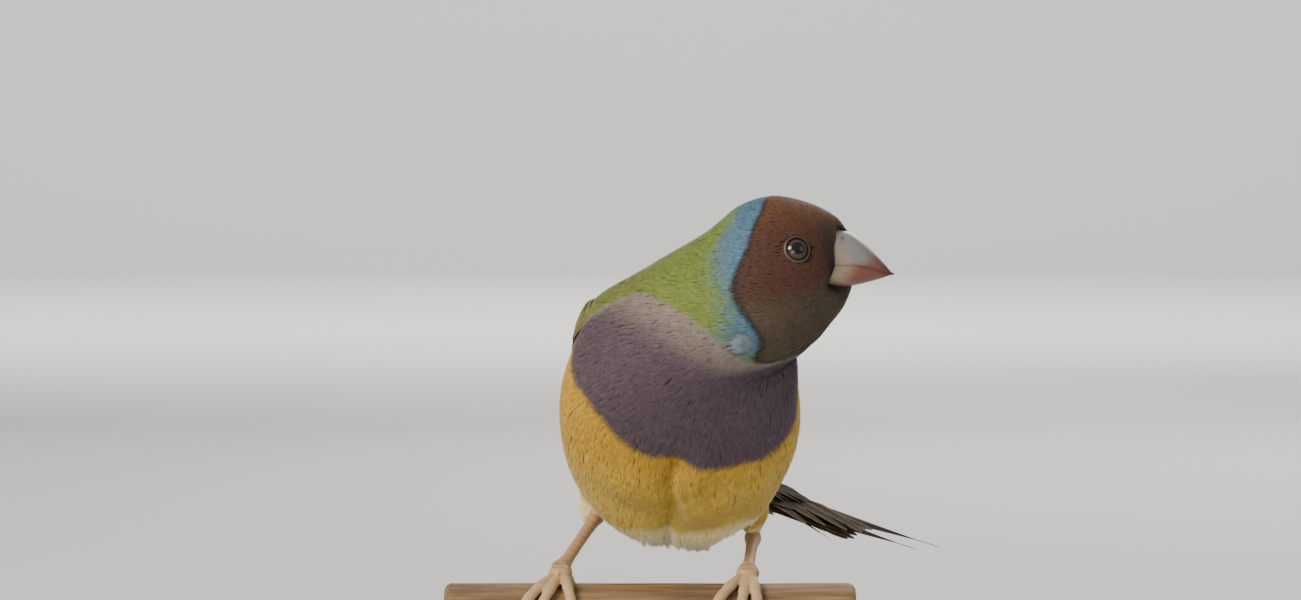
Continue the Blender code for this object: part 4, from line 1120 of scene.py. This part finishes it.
for name, upper in (("upper", True), ("lower", False)):
    rows = along(BILL_SECTIONS, np.linspace(0, len(BILL_SECTIONS) - 1, 90))
    turns = np.linspace(0, 2 * np.pi, 96, endpoint=False)
    rings = []
    for ahead, culmen, mouth, gonys, half_upper, half_lower in rows:
        edge = mouth + (-0.02 if upper else 0.3)
        rise = (culmen - edge) if upper else (gonys - edge)
        high = edge + rise * np.maximum(0, np.sin(turns)) ** (0.85 if upper else 0.6)
        width = half_upper if upper else half_lower - 0.2
        ring = np.stack((np.full(96, ahead), BILL_MIDDLE + width * np.cos(turns), high), 1)
        if upper:
            off = np.hypot(ring[:, 0] - NOSTRIL[0], ring[:, 2] - NOSTRIL[1])
            ring[:, 1] -= np.sign(np.cos(turns)) * 0.35 * np.exp(-((off / 0.42) ** 2))
        rings.append(in_scene(ring))
    shape = skinned(rings)
    half_bill = from_bmesh("horn_" + name, shape, bill_horn, 50)
    points = np.array([vert.co for vert in half_bill.data.vertices]) / MM - (0, 0, LEVEL)
    ahead, high = points[:, 0], points[:, 2]
    over_mouth = high - MOUTH_LEVEL
    if upper:
        grey = ease(ahead + over_mouth * 0.6, 31.0, 34.0)
        tones = mix(BILL_COLOURS["root"], BILL_COLOURS["grey"], grey)
        tones = mix(tones, BILL_COLOURS["coral"], ease(ahead - over_mouth, 32.4, 36.4))
        # Each nostril's dent is darkened: painted shade for its opening.
        off = np.hypot(ahead - NOSTRIL[0], high - NOSTRIL[1])
        tones = mix(tones, BILL_COLOURS["nostril"], 0.5 * np.exp(-((off / 0.32) ** 2)))
    else:
        coral = ease(ahead - 0.5 * over_mouth, 30.8, 34.6)
        tones = mix(BILL_COLOURS["lower_root"], BILL_COLOURS["lower_coral"], coral)
    tones = mix(tones, BILL_COLOURS["point"], 0.85 * ease(ahead, 36.6, 39.2))
    # A band of the upper half along the mouth line is darkened: painted shade where the upper half overhangs
    # the lower.
    line = np.interp(ahead, BILL_SECTIONS[:, 0], BILL_SECTIONS[:, 2])
    tones = mix(tones, BILL_COLOURS["mouth"], 0.5 * bump_at(high, line, 0.12) * upper)
    paint(half_bill.data, "horn", tones)
    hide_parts("bill_" + name)
    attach(half_bill, "root")

# Legs. The bare legs and toes are dull flesh-coloured skin under rows of horny plates, and each
# foot holds the perch with three toes in front and one behind.
PERCH_RADIUS = 6.0
PERCH_MIDDLE = -7.5
TOE_REACH = PERCH_RADIUS + 0.95
LEGS = {
    "right": {
        "thigh_end": (-9.1, 11.7, 9.9), "ankle": (-9.0, 11.6, 8.6), "foot": (-14.8, 0.0, 0.8),
        "toes": ((-1.0, -7.6, 10.0, 1), (0.6, -3.9, 12.4, 1), (0.9, 2.4, 10.5, 1), (1.2, 2.6, 8.0, -1)),
    },
    "left": {
        "thigh_end": (17.4, 14.0, 5.5), "ankle": (17.4, 13.6, 4.5), "foot": (16.2, 0.0, 0.5),
        "toes": ((-0.9, -7.0, 10.0, 1), (0.2, -1.6, 12.4, 1), (1.0, 1.8, 10.5, 1), (0.2, -2.0, 8.0, -1)),
    },
}
SHIN_RADII = np.array((1.30, 1.42, 1.45, 1.28, 1.08, 0.98, 0.98, 1.08, 1.4, 1.8))[:, None]
INSTEP_RADII = (1.5, 1.8, 1.95, 1.95, 1.85, 1.7, 1.5, 1.35, 1.2)
TOE_RADII = 0.94 * np.array((1.12, 1.02, 0.9, 1.04, 0.88, 1.0, 0.84, 0.74, 0.56))
SHIN_PLATE, INSTEP_PLATE, TOE_PLATE = 1.35, 40.0, 0.8
PLATE_RISE, SEAM_DEPTH = 0.03, 0.045
# How far a claw bows off the perch, and its radius, at shares of its length
CLAW_BOW = ((0, 0.3, 0.55, 0.8, 1), (0.05, -0.02, -0.15, -0.1, 0.25))
CLAW_RADII = ((0, 0.2, 0.6, 0.9, 1), (0.52, 0.50, 0.34, 0.14, 0.03))
TUBE_SIDES = 16
LEG_VOXEL = 0.15
LEG_COLOURS = dyes({
    "shin": "ad8b66", "seam": "8a6b4b", "toe": "c5a77e", "claw": "866a56", "claw_tip": "54402f",
})


def toe_points(foot, start, end, arcs, forward):
    """Points along a toe at lengths round the perch."""
    turn = np.asarray(arcs) / TOE_REACH
    share = np.minimum(1.3, np.asarray(arcs) / 10)
    across = foot + start * 0.5 + (end - start * 0.5) * share
    height = PERCH_MIDDLE + TOE_REACH * np.cos(turn)
    return np.stack((across, -forward * TOE_REACH * np.sin(turn), height), 1)


def tube_rings(points, radii):
    """Rings of a round rod along points, with a radius at each."""
    ahead = unit(np.gradient(points, axis=0))
    across = unit(np.cross(ahead, (0.35, 0.9, 0.2)))
    other = np.cross(ahead, across)
    turns = np.arange(TUBE_SIDES) * 2 * np.pi / TUBE_SIDES
    spokes = across[:, None] * np.cos(turns)[None, :, None] + other[:, None] * np.sin(turns)[None, :, None]
    return points[:, None] + spokes * np.asarray(radii)[:, None, None]


# Leg skin: dry horny plates, matt, with specks about 0.7 mm across
leg_skin, tree, shader = new_material("leg_skin")
place = add(tree, "TexCoord")
speck = add(tree, "TexNoise", Vector=place.outputs["Object"], Scale=1400.0, Detail=3.0)
vary(tree, shader, "scales", speck.outputs["Fac"], 0.9, 1.08)
grainy = add(tree, "Bump", Height=speck.outputs["Fac"], Strength=0.35, Distance=0.00005)
tree.links.new(grainy.outputs["Normal"], shader.inputs["Normal"])
tune(shader, Roughness=0.6, Subsurface_Weight=0.1, Subsurface_Radius=(1.0 * MM, 0.4 * MM, 0.25 * MM))

# Claw horn: harder and glossier than the leg, darker to the point, mottled at about 0.4 mm
claw_horn, tree, shader = new_material("claw_horn")
place = add(tree, "TexCoord")
streaks = add(tree, "TexNoise", Vector=place.outputs["Object"], Scale=2500.0, Detail=3.0)
vary(tree, shader, "horn", streaks.outputs["Fac"], 0.85, 1.12)
tune(shader, Roughness=0.35)

for word, leg in LEGS.items():
    ankle, foot = np.array(leg["ankle"]), np.array(leg["foot"])
    stops = np.array((leg["thigh_end"], *(ankle + (foot - ankle) * k for k in (0, 0.12, 0.5, 0.85, 1))))
    shin = along(stops, np.linspace(0, 5, 30))
    parts = [(shin, along(SHIN_RADII, np.linspace(0, 9, 30))[:, 0], SHIN_PLATE)]
    sole = np.array((foot[0], 0.0, PERCH_MIDDLE + TOE_REACH))
    stops = np.array((foot + (0, 0, 0.5), sole + (0, 0, 0.35), sole + (0, -0.8, 0)))
    parts.append((along(stops, np.linspace(0, 2, 9)), INSTEP_RADII, INSTEP_PLATE))
    claws = []
    for start, end, length, forward in leg["toes"]:
        line = toe_points(foot[0], start, end, np.linspace(0, length + 0.35, 30), forward)
        parts.append((line, np.interp(np.linspace(0, 8, 30), np.arange(9), TOE_RADII), TOE_PLATE))
        arcs = np.linspace(0, 1, 16)
        hook = toe_points(foot[0], start, end, length - 0.3 + 4.1 * arcs, forward)
        out = unit((hook - (0, 0, PERCH_MIDDLE)) * (0, 1, 1))
        hook = hook + out * np.interp(arcs, *CLAW_BOW)[:, None]
        claws.append((hook, np.interp(arcs, *CLAW_RADII)))
    shape = bmesh.new()
    for line, radii, _ in parts:
        add_tube(shape, in_scene(tube_rings(line, radii)))
    bare = from_bmesh("skin_leg_" + word, shape, leg_skin, 180)
    one_skin(bare, LEG_VOXEL, 4)
    fresh = bare.data
    lines = np.concatenate([line for line, _, _ in parts])
    lengths = np.concatenate([
        np.append(0, np.linalg.norm(np.diff(line, axis=0), axis=1)).cumsum() / plate
        for line, _, plate in parts
    ])
    tree_of_lines = search_tree(in_scene(lines))
    points = np.array([vert.co for vert in fresh.vertices])
    normals = np.array([vert.normal for vert in fresh.vertices])
    nearest = np.array([[found[1] for found in tree_of_lines.find_n(point, 2)] for point in points])
    first, second = lines[nearest[:, 0]], lines[nearest[:, 1]]
    spots = points / MM - (0, 0, LEVEL)
    between = second - first
    share = ((spots - first) * between).sum(1) / np.maximum((between**2).sum(1), 1e-6)
    plate = lengths[nearest[:, 0]] + share.clip(-0.5, 1) * (lengths[nearest[:, 1]] - lengths[nearest[:, 0]])
    front = normals @ np.array((0.0, -0.75, 0.66))
    scale = plate % 1.0
    seam = np.exp(-((np.minimum(scale, 1 - scale) / 0.12) ** 2)) * ease(front, -0.1, 0.5)
    rise = PLATE_RISE * ease(front, -0.1, 0.5) * (1 - scale) - SEAM_DEPTH * seam
    points = points + normals * (rise * MM)[:, None]
    middle = in_scene((0, 0, PERCH_MIDDLE))
    spoke = (points - middle) * (0, 1, 1)
    inside = np.maximum((PERCH_RADIUS + 0.04) * MM / np.linalg.norm(spoke, axis=1), 1)
    points = points + spoke * (inside - 1)[:, None] * (points[:, 2] > middle[2] - 0.006)[:, None]
    fresh.vertices.foreach_set("co", points.astype(np.float32).ravel())
    tones = mix(LEG_COLOURS["shin"], LEG_COLOURS["seam"], 0.45 * seam)
    tones = mix(tones, LEG_COLOURS["toe"], 0.6 * ease(-spots[:, 2], -4, 2))
    paint(fresh, "scales", tones)
    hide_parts("leg_" + word, "foot_" + word)
    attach(bare, "root")
    shape = bmesh.new()
    for line, radii in claws:
        add_tube(shape, in_scene(tube_rings(line, radii)))
    hooks = from_bmesh("claws_" + word, shape, claw_horn, 60)
    middles = np.concatenate([in_scene(line) for line, _ in claws])
    points = np.array([vert.co for vert in hooks.data.vertices])
    nearest = np.linalg.norm(points[:, None] - middles[None], axis=2).argmin(1)
    worn = ease(nearest % len(arcs) / (len(arcs) - 1), 0.2, 1.0)
    paint(hooks.data, "horn", mix(LEG_COLOURS["claw"], LEG_COLOURS["claw_tip"], worn))
    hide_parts(*("claw_" + word + "_" + letter for letter in "abcd"))
    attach(hooks, "root")

# Perch. A turned length of pale hardwood, worn and slightly uneven, with its ends eased, which
# rests on two brass rods.
PERCH_TONES = ((0.35, "5a4530"), (0.68, "90744f"))
# How far in from its end the perch has been eased, and by how much
PERCH_END = ((0, 0.9), (0.3, 0.35), (0.9, 0))

# Bare pale hardwood: dull and dry, with grain lines 17 mm long and about 1 mm wide, coarser than
# the real pores, so that they show
perch_wood, tree, shader = new_material("perch_wood")
place = add(tree, "TexCoord")
stretch = add(tree, "Mapping", Vector=place.outputs["Object"], Scale=(60.0, 900.0, 900.0))
fibres = add(tree, "TexNoise", Vector=stretch.outputs["Vector"], Scale=1.0, Detail=6.0, Roughness=0.65)
ramp = add(tree, "ValToRGB", Fac=fibres.outputs["Fac"])
set_stops(ramp, PERCH_TONES)
tree.links.new(ramp.outputs["Color"], shader.inputs["Base Color"])
pores = add(tree, "Bump", Height=fibres.outputs["Fac"], Strength=0.5, Distance=0.0001)
tree.links.new(pores.outputs["Normal"], shader.inputs["Normal"])
tune(shader, Roughness=0.7)

low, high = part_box("stand_perch")
stops = [(low.x + far * MM, inset) for far, inset in PERCH_END]
stops += [(low.x + (high.x - low.x) * k / 120, 0) for k in range(3, 118)]
stops += [(high.x - far * MM, inset) for far, inset in reversed(PERCH_END)]
rings = []
for ahead, inset in stops:
    ring = []
    for k in range(72):
        turn = math.tau * k / 72
        worn = noise.noise(Vector((ahead * 60, math.cos(turn) * 1.4, math.sin(turn) * 1.4)))
        reach = (PERCH_RADIUS - inset - 0.12 * (0.5 + 0.5 * worn)) * MM
        ring.append((ahead, reach * math.cos(turn), (low.z + high.z) / 2 + reach * math.sin(turn)))
    rings.append(ring)
perch = from_bmesh("perch", skinned(rings), perch_wood, 60)
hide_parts("stand_perch")
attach(perch, "root")

# Rods. Two turned brass rods, each with a collar where it stands on the base, run up into the
# underside of the perch.
ROD_COLLAR = ((3.6, 0), (3.6, 0.9), (3.2, 1.3), (2.3, 1.5), (2.0, 2.0))
ROD_SUNK = 0.4

# Lacquered brass: a warm yellow metal whose gloss varies where it was rubbed, over about 5 mm
brass, tree, shader = new_material("brass")
tune(shader, Base_Color=(*linear("b08d4a"), 1), Metallic=1.0)
place = add(tree, "TexCoord")
rub = add(tree, "TexNoise", Vector=place.outputs["Object"], Scale=220.0, Detail=4.0)
gloss = add(tree, "MapRange", Value=rub.outputs["Fac"], To_Min=0.2, To_Max=0.42)
tree.links.new(gloss.outputs["Result"], shader.inputs["Roughness"])

for word in ("left", "right"):
    low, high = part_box("stand_rod_" + word)
    centre, foot = (low + high) / 2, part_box("stand_base")[1].z
    top = high.z + ROD_SUNK * MM
    profile = [(0, foot)] + [(reach, foot + height * MM) for reach, height in ROD_COLLAR]
    profile += [(ROD_COLLAR[-1][0], top), (0, top)]
    shape = bmesh.new()
    corners = [shape.verts.new((centre.x + reach * MM, centre.y, height)) for reach, height in profile]
    edges = [shape.edges.new(pair) for pair in zip(corners, corners[1:])]
    bmesh.ops.spin(
        shape, geom=corners + edges, cent=(centre.x, centre.y, 0), axis=(0, 0, 1), angle=math.tau,
        steps=64, use_merge=True,
    )
    bmesh.ops.remove_doubles(shape, verts=shape.verts, dist=1e-6)
    rod = from_bmesh("rod_" + word, shape, brass, 30)
    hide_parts("stand_rod_" + word)
    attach(rod, "root")

# Base. A flat plinth of dark oiled hardwood with round corners and a moulded upper edge, sawn and
# planed from one board.
BASE_TONES = ((0.35, "2c1c12"), (0.7, "5c3d27"))
BASE_CORNER = 8
# Heights up the moulding, and how far each lies in from the edge
BASE_PROFILE = (
    (0, 0.6), (0.5, 0.0), (3.6, 0.0), (3.9, 0.5), (4.4, 0.6), (5.2, 0.75), (5.9, 1.2), (6.4, 1.9),
    (6.8, 2.7), (7.0, 3.4),
)

# Oiled walnut: dark brown with a satin gloss, and a figure about 9 mm wide and 70 mm long
base_wood, tree, shader = new_material("oiled_walnut")
place = add(tree, "TexCoord")
stretch = add(tree, "Mapping", Vector=place.outputs["Object"], Scale=(14.0, 110.0, 110.0))
figure = add(tree, "TexNoise", Vector=stretch.outputs["Vector"], Scale=1.0, Detail=5.0, Distortion=0.6)
ramp = add(tree, "ValToRGB", Fac=figure.outputs["Fac"])
set_stops(ramp, BASE_TONES)
tree.links.new(ramp.outputs["Color"], shader.inputs["Base Color"])
tune(shader, Roughness=0.38)

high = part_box("stand_base")[1]
rings = []
for height, inset in BASE_PROFILE:
    reach = (BASE_CORNER - inset) * MM
    ring = []
    for across, deep, first in ((1, 1, 0), (-1, 1, 90), (-1, -1, 180), (1, -1, 270)):
        middle = across * (high.x - BASE_CORNER * MM), deep * (high.y - BASE_CORNER * MM)
        for k in range(13):
            turn = math.radians(first + 7.5 * k)
            ahead, back = reach * math.cos(turn), reach * math.sin(turn)
            ring.append((middle[0] + ahead, middle[1] + back, height * MM))
    rings.append(ring)
base = from_bmesh("base", skinned(rings), base_wood, 35)
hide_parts("stand_base")
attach(base, "root")

size = {"cad": [list(cad_low), list(cad_high)], "visual": [list(corner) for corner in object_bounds()]}
